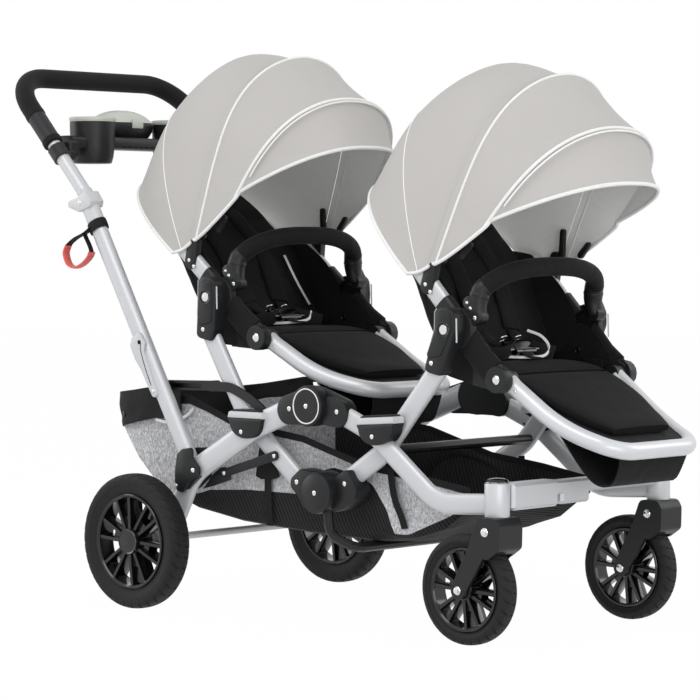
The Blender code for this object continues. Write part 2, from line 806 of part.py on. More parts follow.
def arm(path_points, height=ARM_HEIGHT):
    return moved(flat_tube(filleted(path_points, 0.08, 4), height, ARM_THICKNESS), (0, ARM_Y, 0))


rear_arm_top = (-0.1695, 0.517)
front_arm_top = (0.3935, 0.470)
rear_arm = arm([rear_arm_top, (-0.076, 0.366), (0.100, 0.220 + 0.0)], ARM_HEIGHT)
front_arm = arm([front_arm_top, (0.262, 0.315), (0.150, 0.243)], ARM_HEIGHT)
crossing_boss = y_rod(REAR_CROSSING, arm_outer - 0.003, leg_inner - GAP, CROSS_PIN_RADIUS, 20)
crossing_pin = y_rod(REAR_CROSSING, arm_outer - 0.003, leg_inner + 0.005, FRONT_PIN_RADIUS, 12)
front_boss = y_rod(FRONT_CROSSING, arm_outer - 0.003, leg_inner - GAP, CROSS_PIN_RADIUS, 20)
front_pin = y_rod(FRONT_CROSSING, arm_outer - 0.003, leg_inner + 0.005, FRONT_PIN_RADIUS, 12)
hub_sweep = y_rod(LOWER_HUB, 0.17, 0.26, LOWER_HUB_RADIUS + 0.004, 22)
rear_arm = union(cut(rear_arm, hub_sweep), crossing_boss, crossing_pin)
front_tongue = slab(stadium(LOWER_HUB, (0.205, 0.275), 0.016, 0.018), arm_inner + 0.0005,
                    arm_inner + 0.006)
front_arm = union(cut(front_arm, hub_sweep), front_tongue, front_boss, front_pin)
pair("rear_arm", rear_arm, "silver", (rear_arms, rear_arms), (REAR_CROSSING[0], ARM_Y, REAR_CROSSING[1]))
pair("front_arm", front_arm, "silver", (front_arms, front_arms),
     (FRONT_CROSSING[0], ARM_Y, FRONT_CROSSING[1]))

hub_inner_y = arm_inner + 0.0068
lower_disc = y_rod(LOWER_HUB, hub_inner_y, 0.243, LOWER_HUB_RADIUS, 22)
u_bar = tube(
    filleted(
        [
            (LOWER_HUB[0] + 0.012, -0.222, LOWER_HUB[1] - 0.020),
            (LOWER_HUB[0] + 0.018, -0.222, 0.165),
            (U_BAR_X, -0.205, U_BAR_Z),
            (U_BAR_X, 0.205, U_BAR_Z),
            (LOWER_HUB[0] + 0.018, 0.222, 0.165),
            (LOWER_HUB[0] + 0.012, 0.222, LOWER_HUB[1] - 0.020),
        ],
        0.030,
        3,
    ),
    U_BAR_RADIUS,
)
part("lower_link", union(u_bar, lower_disc, mirrored(lower_disc)), "black_plastic", rear_arms,
     (REAR_CROSSING[0], 0, REAR_CROSSING[1]))


# Seat mounts and their release buttons

def seat_mount(hub, arm_top, arm_dir):
    """The upright bracket on top of an arm: a rounded plate with a socket for the tube's end."""
    hx, hz = hub
    outline = filleted(
        [
            (hx - 0.023, hz), (hx - 0.022, hz + 0.036), (hx + 0.022, hz + 0.036), (hx + 0.024, hz),
            (arm_top[0] + 0.024, arm_top[1] + 0.008), (arm_top[0] + 0.016, arm_top[1] - 0.014),
            (arm_top[0] - 0.024, arm_top[1] - 0.006), (hx - 0.023, hz),
        ],
        0.010,
        3,
    )[:-1]
    mesh = slab(outline, arm_inner - 0.0015, MOUNT_OUTER_Y)
    socket = moved(
        flat_tube(
            [
                (arm_top[0] - arm_dir[0] * 0.001, arm_top[1] - arm_dir[1] * 0.001),
                (arm_top[0] + arm_dir[0] * 0.060, arm_top[1] + arm_dir[1] * 0.060),
            ],
            ARM_HEIGHT + 2 * GAP, ARM_THICKNESS + 2 * GAP,
        ),
        (0, ARM_Y, 0),
    )
    bore = y_rod(hub, MOUNT_OUTER_Y - 0.0075, MOUNT_OUTER_Y + 0.01, BUTTON_RADIUS + RUN_GAP, 20)
    return cut(mesh, socket, bore)


def unit(a, b):
    span = math.hypot(b[0] - a[0], b[1] - a[1])
    return ((b[0] - a[0]) / span, (b[1] - a[1]) / span)


def release_button(hub):
    return turned(
        [(0, 0.0052), (BUTTON_RADIUS * 0.8, 0.0046), (BUTTON_RADIUS, 0.003), (BUTTON_RADIUS, 0),
         (0, 0)],
        14,
    )


for label, hub, arm_top, knee, carrier in (
    ("rear", REAR_SEAT_HUB, rear_arm_top, (-0.076, 0.366), rear_arms),
    ("front", FRONT_SEAT_HUB, front_arm_top, (0.262, 0.315), front_arms),
):
    mount = seat_mount(hub, arm_top, unit(arm_top, knee))
    pair(f"{label}_mount", mount, "black_plastic", (carrier, carrier), (hub[0], MOUNT_OUTER_Y, hub[1]))
    seat_y = MOUNT_OUTER_Y - 0.0033
    buttons = [
        body(f"{label}_release_{tag}", (hub[0], side * seat_y, hub[1]), carrier)
        for tag, side in (("R", -1), ("L", 1))
    ]
    pair(f"{label}_release_button", on_axle(release_button(hub), hub[0], seat_y, hub[1]), "chrome",
         buttons, (hub[0], seat_y, hub[1]))


# Handle

handle_across = Vector((-handle_way.z, 0, handle_way.x))
pivot_at = Vector((HANDLE_PIVOT[0], 0, HANDLE_PIVOT[1]))
collar_at = Vector((COLLAR_POINT[0], 0, COLLAR_POINT[1]))


def at_collar(along, back):
    """A side-view point measured from the collar: up the tube, and square to it, rearward."""
    p = collar_at + handle_way * along + handle_across * back
    return (p.x, p.z)


collar_outline = filleted(
    [
        at_collar(0.008, 0.000), at_collar(0.008, -0.019), at_collar(-0.018, -0.0225),
        at_collar(-0.027, -0.0145), at_collar(-0.018, 0.020), at_collar(0.004, 0.040),
        at_collar(0.015, 0.034), at_collar(0.009, 0.015), at_collar(0.008, 0.000),
    ],
    0.004,
    2,
)[:-1]
bar_bend = collar_at + handle_way * 0.013
tube_foot = pivot_at - handle_way * 0.003
handle_tube = moved(
    flat_tube([(tube_foot.x, tube_foot.z), at_collar(0.006, 0)], HANDLE_LOWER_HEIGHT,
              HANDLE_LOWER_THICKNESS, 12),
    (0, LEG_Y, 0),
)
collar = slab(collar_outline, LEG_Y - 0.0175, LEG_Y + 0.0175)
bore_foot = collar_at - handle_way * (HANDLE_INSERT + 0.008)
bore_top = collar_at + handle_way * 0.03
handle_tube = cut(
    union(handle_tube, collar),
    rod((bore_foot.x, LEG_Y, bore_foot.z), (bore_top.x, LEG_Y, bore_top.z),
        HANDLE_RADIUS + 0.0008, 14),
    y_rod(HANDLE_PIVOT, LEG_Y - 0.02, LEG_Y + 0.02, FRONT_PIN_RADIUS + RUN_GAP, 12),
)
brace_pin = y_rod(BRACE_HANDLE_END, BRACE_Y - 0.001, LEG_Y - 0.005, BRACE_PIN_RADIUS, 12)
handle_tube = union(handle_tube, brace_pin)
pair("handle_tube", handle_tube, "silver", (handle_lower, handle_lower),
     (HANDLE_PIVOT[0], LEG_Y, HANDLE_PIVOT[1]))

insert_foot = collar_at - handle_way * HANDLE_INSERT
corner = Vector((HANDLE_TOP[0], LEG_Y, HANDLE_TOP[1]))
bend = Vector((bar_bend.x, LEG_Y, bar_bend.z))
grip_foot = bend.lerp(corner, 0.43)


def across(points):
    """A left half path completed with its mirror image."""
    points = [Vector(p) for p in points]
    return points + [Vector((p.x, -p.y, p.z)) for p in reversed(points)]


bar_path = filleted(across([(insert_foot.x, LEG_Y, insert_foot.z), bend, corner]),
                    [0.05, HANDLE_CORNER, HANDLE_CORNER, 0.05], 5)
grip_path = filleted(across([grip_foot, corner]), [HANDLE_CORNER, HANDLE_CORNER], 5)
bore_path = filleted(across([grip_foot + (bend - corner) * 0.05, corner]),
                     [HANDLE_CORNER, HANDLE_CORNER], 5)
part("handle_bar", tube(bar_path, HANDLE_RADIUS), "silver", handle_upper,
     (COLLAR_POINT[0], 0, COLLAR_POINT[1]))
part("handle_grip", cut(tube(grip_path, GRIP_RADIUS, 2), tube(bore_path, HANDLE_RADIUS + 0.0009, 2)),
     "foam", handle_upper, (COLLAR_POINT[0], 0, COLLAR_POINT[1]))


# Handle braces: each leans on the handle's pin in a slot and hinges on the rear leg

def strip(points, half):
    """The outline of a flat bar of one width along side-view points."""
    left, right = [], []
    for i, (x, z) in enumerate(points):
        before = points[max(i - 1, 0)]
        after = points[min(i + 1, len(points) - 1)]
        dx, dz = unit(before, after)
        left.append((x - dz * half, z + dx * half))
        right.append((x + dz * half, z - dx * half))
    return left + right[::-1]


braces = body("handle_brace", (BRACE_LEG_END[0], 0, BRACE_LEG_END[1]), root)
brace_arc = filleted(
    [(-0.162, 0.420), (-0.105, 0.420), (-0.050, 0.398), BRACE_LEG_END], 0.07, 4,
)
brace_layer = leg_inner - GAP
brace = slab(strip(brace_arc, 0.0088), brace_layer - 0.0042, brace_layer)
channel = slab(strip([(-0.286, 0.418), BRACE_KNEE], 0.0092), BRACE_Y - 0.003, brace_layer - 0.0038)
knee = y_rod((-0.152, 0.4205), BRACE_Y - 0.003, brace_layer, 0.0105, 16)
slot = slab(strip([(-0.2795, 0.418), (-0.185, 0.4195)], 0.0045), BRACE_Y - 0.01, brace_layer)
leg_pin = y_rod(BRACE_LEG_END, brace_layer - 0.003, leg_inner + 0.004, BRACE_PIN_RADIUS, 12)
brace = union(cut(channel, slot), knee, brace, leg_pin)
pair("handle_brace", brace, "black_plastic", (braces, braces),
     (BRACE_LEG_END[0], LEG_Y, BRACE_LEG_END[1]))


# Parent tray

clamp_at = bend.lerp(corner, TRAY_CLAMP_SHARE)
clamp_way = (corner - bend).normalized()
tray_x = clamp_at.x - TRAY_BEHIND
tray_z = clamp_at.z + TRAY_ABOVE
cup_z = tray_z + CUP_ABOVE_BEAM
lid_x = tray_x - LID_BEHIND


def cup(y):
    wall = turned(
        [(0, CUP_HEIGHT / 2), (CUP_RADIUS, CUP_HEIGHT / 2),
         (CUP_FLOOR_RADIUS, -CUP_HEIGHT / 2), (0, -CUP_HEIGHT / 2)],
        16,
    )
    return moved(wall, (tray_x, y, cup_z))


def cup_hollow(y):
    hollow = turned(
        [(0, CUP_HEIGHT / 2 + 0.01), (CUP_RADIUS - CUP_WALL, CUP_HEIGHT / 2 + 0.01),
         (CUP_RADIUS - CUP_WALL, CUP_HEIGHT / 2), (CUP_FLOOR_RADIUS - CUP_WALL, CUP_WALL - CUP_HEIGHT / 2),
         (0, CUP_WALL - CUP_HEIGHT / 2)],
        16,
    )
    return moved(hollow, (tray_x, y, cup_z))


def oval(profile, x, z, steps=18):
    """A turned dish stretched to the clam's oval."""
    mesh = turned(profile, steps)
    mesh.transform(
        Matrix.Translation((x, 0, z))
        @ Matrix.Diagonal((LID_WIDTH / 2, LID_LENGTH / 2, 1, 1))
    )
    return mesh


dish_top = tray_z + 0.044
dish = oval([(0, 0), (1, 0), (1, -0.016), (0.80, -0.034), (0, -0.034)], lid_x, dish_top)
dish_hollow = oval([(0, 0.01), (0.93, 0.01), (0.93, -0.014), (0.75, -0.030), (0, -0.030)],
                   lid_x, dish_top)
beam = block((tray_x - 0.026, -0.186, tray_z - 0.011), (tray_x + 0.026, 0.186, tray_z + 0.013), 0.005)
ring = rod(clamp_at - clamp_way * 0.014, clamp_at + clamp_way * 0.014, 0.0185, 14)
clamp_arm = union(
    block((tray_x - 0.008, 0.176, tray_z - 0.032), (tray_x + 0.036, 0.2030, tray_z + 0.003), 0.004),
    block((tray_x + 0.008, 0.190, tray_z - 0.036), (tray_x + 0.040, 0.2115, tray_z - 0.017), 0.003),
)
tray = union(beam, dish, cup(CUP_Y), cup(-CUP_Y), clamp_arm, mirrored(clamp_arm), ring,
             mirrored(ring))
tube_way = rod(clamp_at - clamp_way * 0.03, clamp_at + clamp_way * 0.03, HANDLE_RADIUS + 0.0006, 12)
tray = cut(tray, cup_hollow(CUP_Y), cup_hollow(-CUP_Y), dish_hollow, tube_way, mirrored(tube_way))
part("parent_tray", tray, "black_plastic", handle_upper, (tray_x, 0, tray_z))

lid_hinge = (lid_x - LID_WIDTH / 2, dish_top + GAP)
tray_lid = body("tray_lid_hinge", (lid_hinge[0], 0, lid_hinge[1]), handle_upper)
lid = oval(
    [(0, 0.026), (0.45, 0.0225), (0.80, 0.012), (1.0, 0.0), (0.93, 0.0), (0.72, 0.0105),
     (0.40, 0.0195), (0, 0.023)],
    lid_x, dish_top + GAP,
)
part("tray_lid", lid, "grey_plastic", tray_lid, (lid_hinge[0], 0, lid_hinge[1]))


# Seats

def bow(root, apex, half_width, flare, rise, count=14, start=0.16):
    """A canopy hoop from its left foot over to its right, as side-view reach against width."""
    first = math.asin(start ** (1 / rise))
    points = []
    for i in range(count + 1):
        t = first + (math.pi - 2 * first) * i / count
        reach = math.sin(t) ** rise
        width = math.copysign(abs(math.cos(t)) ** flare, math.cos(t))
        points.append(
            Vector(
                (
                    root[0] + (apex[0] - root[0]) * reach,
                    half_width * width,
                    root[1] + (apex[1] - root[1]) * reach,
                )
            )
        )
    return points


def blended(a, b, share):
    return [p.lerp(q, share) for p, q in zip(a, b)]


def sheet(rows, thickness, offset=0.0):
    """A skin over rows of points, thickened to a closed wall."""
    count = len(rows[0])
    mesh = bpy.data.meshes.new("skin")
    faces = [
        (i * count + j, i * count + j + 1, (i + 1) * count + j + 1, (i + 1) * count + j)
        for i in range(len(rows) - 1)
        for j in range(count - 1)
    ]
    mesh.from_pydata([tuple(p) for row in rows for p in row], [], faces)
    obj = scratch(mesh)
    wall = obj.modifiers.new("Solidify", "SOLIDIFY")
    wall.thickness = thickness
    wall.offset = offset
    wall.use_even_offset = True
    return baked(obj)


def cushion(rows, thickness, crown):
    """A soft panel on rows of points: thin at its edges, full in the middle."""
    last_row, last = len(rows) - 1, len(rows[0]) - 1
    bm = bmesh.new()
    sides = []
    for side in (1, -1):
        grid = []
        for i, row in enumerate(rows):
            along = rows[min(i + 1, last_row)][0] - rows[max(i - 1, 0)][0]
            normal = Vector((0, 1, 0)).cross(along).normalized()
            line = []
            for j, p in enumerate(row):
                edge = math.sin(math.pi * j / last) ** 0.5 if 0 < j < last else 0.0
                end = 1.0 if 0 < i < last_row else 0.55
                lift = thickness / 2 + crown * edge * end
                line.append(bm.verts.new(p + normal * side * lift))
            grid.append(line)
        for i in range(last_row):
            for j in range(last):
                quad = [grid[i][j], grid[i][j + 1], grid[i + 1][j + 1], grid[i + 1][j]]
                bm.faces.new(quad)
        sides.append(grid)
    top, bottom = sides
    ring = [(0, j) for j in range(last)] + [(i, last) for i in range(last_row)]
    ring += [(last_row, j) for j in range(last, 0, -1)] + [(i, 0) for i in range(last_row, 0, -1)]
    for (i, j), (k, m) in zip(ring, ring[1:] + ring[:1]):
        bm.faces.new([top[i][j], top[k][m], bottom[k][m], bottom[i][j]])
    bmesh.ops.recalc_face_normals(bm, faces=bm.faces)
    mesh = bpy.data.meshes.new("cushion")
    bm.to_mesh(mesh)
    bm.free()
    return mesh


def rows_of(stations, count=10):
    """Rows across the seat: side-view points with a half width each."""
    return [
        [Vector((x, half * math.sin(math.pi / 2 * (2 * j / count - 1)), z)) for j in range(count + 1)]
        for x, z, half in stations
    ]


def build_seat(label, hub, tilt, carrier):
    def placed(mesh):
        copy = mesh.copy()
        copy.transform(
            Matrix.Translation((hub[0], 0, hub[1])) @ Matrix.Rotation(-tilt, 4, "Y")
        )
        return copy

    def at(point):
        x, z = local(hub, tilt, point)
        return (x, 0, z)

    def on(point, y):
        x, z = local(hub, tilt, point)
        return (x, y, z)

    # Side frames with their hubs, joined by the pan under the seat
    disc = y_rod((0, 0), SEAT_DISC_Y, arm_inner - 0.0015 - GAP, SEAT_HUB_RADIUS, 20)
    side = moved(
        flat_tube([(0.010, -0.008), (0.050, -0.052), LEGREST_PIVOT], 0.046, 0.0235, 8),
        (0, SEAT_DISC_Y - 0.001, 0),
    )
    inner_clear = y_rod((0, 0), 0.12, SEAT_DISC_Y - 0.0001, 0.0275, 16)
    pivot_disc = y_rod(LEGREST_PIVOT, 0.1665, 0.1855, 0.023, 16)
    lug = slab(stadium((0.008, 0.004), BUMPER_PIN, 0.014, 0.0115, 6), SEAT_DISC_Y, 0.180)
    lug_pin = y_rod(BUMPER_PIN, BUMPER_Y - 0.0075, SEAT_DISC_Y + 0.002, FRONT_PIN_RADIUS, 12)
    left = union(disc, cut(side, inner_clear), pivot_disc, lug, lug_pin)
    tube_clear = y_rod(LEGREST_PIVOT, 0.10, 0.1660, 0.0165, 16)
    left = cut(left, tube_clear)
    pan = slab([(-0.006, -0.0895), (-0.006, -0.0935), (0.070, -0.106), (0.070, -0.102)], -0.152, 0.152)
    hanger = slab([(0.020, -0.060), (0.062, -0.060), (0.062, -0.104), (0.020, -0.097)], 0.1485, 0.162)
    frame = union(left, mirrored(left), hanger, mirrored(hanger), pan)
    button_bore = y_rod(LEGREST_PIVOT, 0.1790, 0.20, DOME_RADIUS + RUN_GAP, 16)
    frame = cut(frame, button_bore, mirrored(button_bore))
    part(f"{label}_seat_frame", placed(frame), "black_plastic", carrier, on((0, 0), 0))

    # Seat cushion with its upright side panels
    pad = cushion(
        rows_of([(-0.008, -0.070, 0.142), (0.020, -0.073, 0.146), (0.050, -0.078, 0.146),
                 (0.070, -0.082, 0.144)], 8),
        0.013, 0.0045,
    )
    wing = slab(
        filleted(
            [(-0.008, -0.060), (-0.008, -0.077), (0.070, -0.090), (0.070, -0.062), (0.036, -0.018),
             (0.014, 0.012), (-0.006, 0.012), (-0.008, -0.060)],
            0.008, 2,
        )[:-1],
        0.1425, 0.1480,
    )
    part(f"{label}_seat_pad", placed(union(pad, wing, mirrored(wing))), "black_cloth", carrier,
         on((0, 0), 0))

    # Backrest: stubs from the hubs and the padded panel between them
    reclined = body(f"{label}_recline", at((0, 0)), carrier)
    back_disc = y_rod((0, 0), BACK_TUBE_Y - 0.010, SEAT_DISC_Y - 0.0008, 0.0245, 16)
    way = (math.cos(BACK_ANGLE), math.sin(BACK_ANGLE))
    stub = moved(
        flat_tube([(way[0] * 0.010, way[1] * 0.010), (way[0] * 0.165, way[1] * 0.165)], 0.029, 0.018, 8),
        (0, BACK_TUBE_Y, 0),
    )
    stub = cut(stub, y_rod((0, 0), SEAT_DISC_Y - 0.0008, 0.20, 0.0375, 20))
    foot = Vector((CANOPY_ROOT[0], 0, CANOPY_ROOT[1]))
    hoop_mount = slab(
        stadium((foot.x - 0.001, foot.z - 0.010), (foot.x + 0.009, foot.z + 0.033), 0.013, 0.010, 6),
        BACK_TUBE_Y, canopy_half_width - 2 * CANOPY_WALL - 0.0012,
    )
    left = union(back_disc, stub, hoop_mount)
    panel = cushion(
        rows_of(
            [(-0.040, -0.074, 0.138), (-0.069, -0.021, 0.148), (-0.096, 0.035, 0.152),
             (-0.118, 0.088, 0.152), (-0.156, 0.134, 0.150), (-0.190, 0.177, 0.140),
             (-0.220, 0.214, 0.120), (-0.243, 0.242, 0.088), (-0.258, 0.260, 0.045)],
            8,
        ),
        0.012, 0.006,
    )
    tab = slab(
        [(-0.120, 0.090), (-0.095, 0.118), (-0.128, 0.152), (-0.156, 0.134)], 0.140, BACK_TUBE_Y,
    )
    back = union(panel, tab, mirrored(tab), left, mirrored(left))
    part(f"{label}_backrest", placed(back), "black_cloth", reclined, on((0, 0), 0))

    # Canopy: a fixed rear shell and a front shell that folds back over it
    folding = body(f"{label}_canopy_fold", at(CANOPY_ROOT), reclined)
    inner = canopy_half_width - CANOPY_WALL - 0.0008
    hem = bow(CANOPY_ROOT, CANOPY_HEM, inner, 0.80, 1.0, start=0.10)
    seam = bow(CANOPY_ROOT, CANOPY_SEAM, inner, 0.85, 0.85, start=0.10)
    ridge = bow(CANOPY_ROOT, CANOPY_RIDGE, inner, 0.85, 0.85, start=0.10)
    edge = bow(CANOPY_ROOT, CANOPY_REAR_EDGE, inner, 0.85, 0.75, start=0.10)
    rows = [hem, seam, blended(seam, ridge, 0.5), ridge, edge]
    part(f"{label}_canopy_rear", placed(sheet(rows, CANOPY_WALL, 1.0)), "canopy_cloth", reclined,
         on(CANOPY_ROOT, 0))
    first = bow(CANOPY_ROOT, CANOPY_FRONT_EDGE, canopy_half_width, 0.85, 0.75, start=0.14)
    hoop = bow(CANOPY_ROOT, CANOPY_HOOP, canopy_half_width, 0.80, 0.70, start=0.14)
    second = bow(CANOPY_ROOT, CANOPY_SECOND, canopy_half_width, 0.70, 0.40, start=0.46)
    brim = bow(CANOPY_ROOT, CANOPY_BRIM, canopy_half_width, 0.75, 0.40, start=0.49)
    rows = [first, hoop, blended(hoop, second, 0.5), second, blended(second, brim, 0.5), brim]
    part(f"{label}_canopy_front", placed(sheet(rows, CANOPY_WALL, 1.0)), "canopy_cloth", folding,
         on(CANOPY_ROOT, 0))

    # Leg rest
    dropped = body(f"{label}_legrest", at(LEGREST_PIVOT), carrier)
    px, pz = LEGREST_PIVOT
    loop = filleted(
        across(
            [
                (px, LEGREST_Y, pz), (px + 0.016, LEGREST_Y, pz - 0.014),
                (0.200, LEGREST_Y - 0.009, -0.167),
                (LEGREST_REACH, LEGREST_BAR_HALF, -LEGREST_DROP),
            ]
        ),
        [0.04, 0.30, 0.055, 0.055, 0.30, 0.04],
        [1, 2, 4, 4, 2, 1],
    )
    knuckle = y_rod(LEGREST_PIVOT, LEGREST_Y - 0.0135, 0.1662 - GAP, 0.0150, 20)
    part(f"{label}_legrest_tube", placed(union(tube(loop, LEGREST_TUBE_RADIUS, 2), knuckle,
                                              mirrored(knuckle))),
         "silver", dropped, on(LEGREST_PIVOT, 0))
    rest = cushion(
        rows_of(
            [(0.093, -0.086, 0.1352), (0.140, -0.112, 0.1340), (0.190, -0.138, 0.1265),
             (0.235, -0.160, 0.112), (0.262, -0.171, 0.086)], 6,
        ),
        0.012, 0.004,
    )
    pocket = cushion(
        rows_of(
            [(0.130, -0.112, 0.124), (0.178, -0.175, 0.118), (0.214, -0.232, 0.106),
             (0.238, -0.258, 0.096), (0.268, -0.258, 0.090), (0.284, -0.218, 0.090)], 6,
        ),
        0.006, 0.0012,
    )
    side_web = slab(
        [(0.128, -0.108), (0.178, -0.177), (0.216, -0.236), (0.238, -0.259), (0.252, -0.255),
         (0.262, -0.180), (0.190, -0.136)],
        0.080, 0.086,
    )
    part(f"{label}_legrest_pad", placed(union(rest, pocket, side_web, mirrored(side_web))),
         "black_cloth", dropped, on(LEGREST_PIVOT, 0))
    for tag, sign in (("R", -1), ("L", 1)):
        pressed = body(f"{label}_legrest_press_{tag}", on(LEGREST_PIVOT, sign * 0.184), carrier)
        dome = on_axle(
            turned([(0, 0.0040), (DOME_RADIUS * 0.6, 0.0034), (DOME_RADIUS, 0.0012),
                    (DOME_RADIUS, -0.0012), (0, -0.0012)], 12),
            LEGREST_PIVOT[0], 0.184, LEGREST_PIVOT[1],
        )
        if sign < 0:
            dome = mirrored(dome)
        part(f"{label}_legrest_button_{tag}", placed(dome), "chrome", pressed,
             on(LEGREST_PIVOT, sign * 0.184))

    # Bumper bar
    swing = body(f"{label}_bumper", at(BUMPER_PIN), carrier)
    path = bow(BUMPER_ROOT, BUMPER_APEX, BUMPER_Y, 0.80, 0.72, 13, start=0.0001)
    path = [Vector((BUMPER_PIN[0] + 0.002, BUMPER_Y, BUMPER_PIN[1] + 0.003))] + path[1:-1]
    path.append(Vector((path[0].x, -BUMPER_Y, path[0].z)))
    eye = y_rod(BUMPER_PIN, BUMPER_Y - 0.008, SEAT_DISC_Y - 0.0008, 0.0125, 20)
    bar = tube(path, BUMPER_RADIUS, 2)
    for near in ((0, 0), BUMPER_PIN):
        trim = y_rod(near, SEAT_DISC_Y - 0.0008, 0.2, 0.0368, 16)
        bar = cut(bar, trim, mirrored(trim))
    hole = y_rod(BUMPER_PIN, BUMPER_Y - 0.0085, BUMPER_Y + 0.04, FRONT_PIN_RADIUS + RUN_GAP, 12)
    bar = cut(union(bar, eye, mirrored(eye)), hole, mirrored(hole))
    part(f"{label}_bumper_bar", placed(bar), "foam", swing, on(BUMPER_PIN, 0))


build_seat("front", FRONT_SEAT_HUB, 0.0, front_arms)
build_seat("rear", REAR_SEAT_HUB, REAR_SEAT_TILT, rear_arms)


# Basket

basket_rows = []
for x, top, floor, half_top, half_floor in BASKET_STATIONS:
    deep = top - floor
    basket_rows.append(
        [
            Vector((x, -half_top, top)), Vector((x, -half_top * 0.99, top - deep * 0.5)),
            Vector((x, -half_floor, floor + deep * 0.10)), Vector((x, -half_floor * 0.85, floor)),
            Vector((x, 0, floor - 0.004)),
            Vector((x, half_floor * 0.85, floor)), Vector((x, half_floor, floor + deep * 0.10)),
            Vector((x, half_top * 0.99, top - deep * 0.5)), Vector((x, half_top, top)),
        ]
    )
for row, lean in ((0, -0.001), (-1, 0.001)):
    wall = basket_rows[row]
    top = wall[0].z
    flat = [Vector((p.x + lean, p.y, top)) for p in wall]
    basket_rows.insert(0 if row == 0 else len(basket_rows), flat)
basket = sheet(basket_rows, BASKET_WALL, 0.0)
part("basket", basket, "basket_cloth", root, (0, 0, 0))
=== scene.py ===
"""Looks of the tandem stroller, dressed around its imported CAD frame. Metres, in the frame's own axes."""

import math

import bmesh
import bpy
from mathutils import Matrix, Vector, noise


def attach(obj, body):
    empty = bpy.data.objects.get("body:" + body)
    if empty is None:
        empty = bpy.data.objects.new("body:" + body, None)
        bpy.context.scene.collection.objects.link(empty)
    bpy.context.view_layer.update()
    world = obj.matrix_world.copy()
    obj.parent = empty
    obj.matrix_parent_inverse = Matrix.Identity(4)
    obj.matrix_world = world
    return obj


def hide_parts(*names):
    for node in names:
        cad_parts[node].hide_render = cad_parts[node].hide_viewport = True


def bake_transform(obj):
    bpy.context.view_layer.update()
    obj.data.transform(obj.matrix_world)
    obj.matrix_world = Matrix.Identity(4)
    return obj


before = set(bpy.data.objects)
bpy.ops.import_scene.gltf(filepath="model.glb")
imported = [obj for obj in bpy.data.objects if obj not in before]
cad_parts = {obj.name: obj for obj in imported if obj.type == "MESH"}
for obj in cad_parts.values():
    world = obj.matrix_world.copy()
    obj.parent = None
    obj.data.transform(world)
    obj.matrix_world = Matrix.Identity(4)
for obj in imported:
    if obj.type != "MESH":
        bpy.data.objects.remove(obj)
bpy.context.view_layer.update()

# Places taken from the part's source
UPPER_HUB = (0.122, 0.395)
LOWER_HUB = (0.137, 0.24)
REAR_CROSSING = (-0.045, 0.345)
FRONT_CROSSING = (0.28, 0.344)
HANDLE_PIVOT = (-0.19, 0.264)
COLLAR = Vector((-0.4845, 0, 0.772))
HANDLE_TOP = Vector((-0.709, 0, 1.016))
LEG_Y = 0.2235
ARM_Y = 0.1985
REAR_AXLE = (-0.29, 0.127)
FRONT_AXLE = (0.4863, 0.0957)
CASTER = (0.548, 0.228)
SEATS = {"front": ((0.418, 0.537), 0.0), "rear": ((-0.166, 0.586), math.radians(6.5))}
ARM_TOPS = {"front": (0.3935, 0.47), "rear": (-0.1695, 0.517)}
LEGREST_PIVOT = (0.09, -0.085)
BUMPER_PIN = (0.037, 0.021)
TUBE_THICK = 0.0202
BACK_WAY = (math.cos(math.radians(133.5)), math.sin(math.radians(133.5)))


# Values of the looks alone
CANOPY_MIDDLE = Vector((-0.012, 0, 0.205))
CLOTH_THICK = 0.0014
ACROSS = (0, 1, 0)
UPRIGHT = (0, 0, 1)


# Shapes

def vec(x, y, z):
    return Vector((x, y, z))


def clamp(value):
    return min(1.0, max(0.0, value))


def turns(count):
    """Angles evenly spaced round one turn."""
    return [2 * math.pi * k / count for k in range(count)]


def frames(path, closed=False):
    """Each point of a path with its direction and two square directions that don't twist."""
    path = [Vector(p) for p in path]
    last = len(path) - 1
    out = []
    normal = None
    before = None
    for i, p in enumerate(path):
        if closed:
            along = (path[(i + 1) % len(path)] - path[i - 1]).normalized()
        else:
            along = (path[min(i + 1, last)] - path[max(i - 1, 0)]).normalized()
        if normal is None:
            up = Vector(UPRIGHT) if abs(along.z) < 0.9 else Vector((1, 0, 0))
            normal = (up - along * up.dot(along)).normalized()
        else:
            normal = before.rotation_difference(along) @ normal
            normal = (normal - along * normal.dot(along)).normalized()
        out.append((p, along, normal, along.cross(normal)))
        before = along
    return out


def smooth_path(points, count):
    """A path through the points, evenly spaced, with rounded turns."""
    points = [Vector(p) for p in points]
    dense = []
    padded = [points[0] * 2 - points[1]] + points + [points[-1] * 2 - points[-2]]
    for a, b, c, d in zip(padded, padded[1:], padded[2:], padded[3:]):
        for k in range(12):
            t = k / 12
            dense.append(
                0.5 * (2 * b + (c - a) * t + (2 * a - 5 * b + 4 * c - d) * t * t
                       + (3 * b - a - 3 * c + d) * t ** 3)
            )
    dense.append(points[-1])
    return even(dense, count)


def even(dense, count):
    """Points spaced evenly along a dense path."""
    lengths = [0.0]
    for a, b in zip(dense, dense[1:]):
        lengths.append(lengths[-1] + (b - a).length)
    out = []
    at = 0
    for i in range(count + 1):
        want = lengths[-1] * i / count
        while at < len(dense) - 2 and lengths[at + 1] < want:
            at += 1
        span = max(lengths[at + 1] - lengths[at], 1e-9)
        out.append(dense[at].lerp(dense[at + 1], min(1.0, (want - lengths[at]) / span)))
    return out


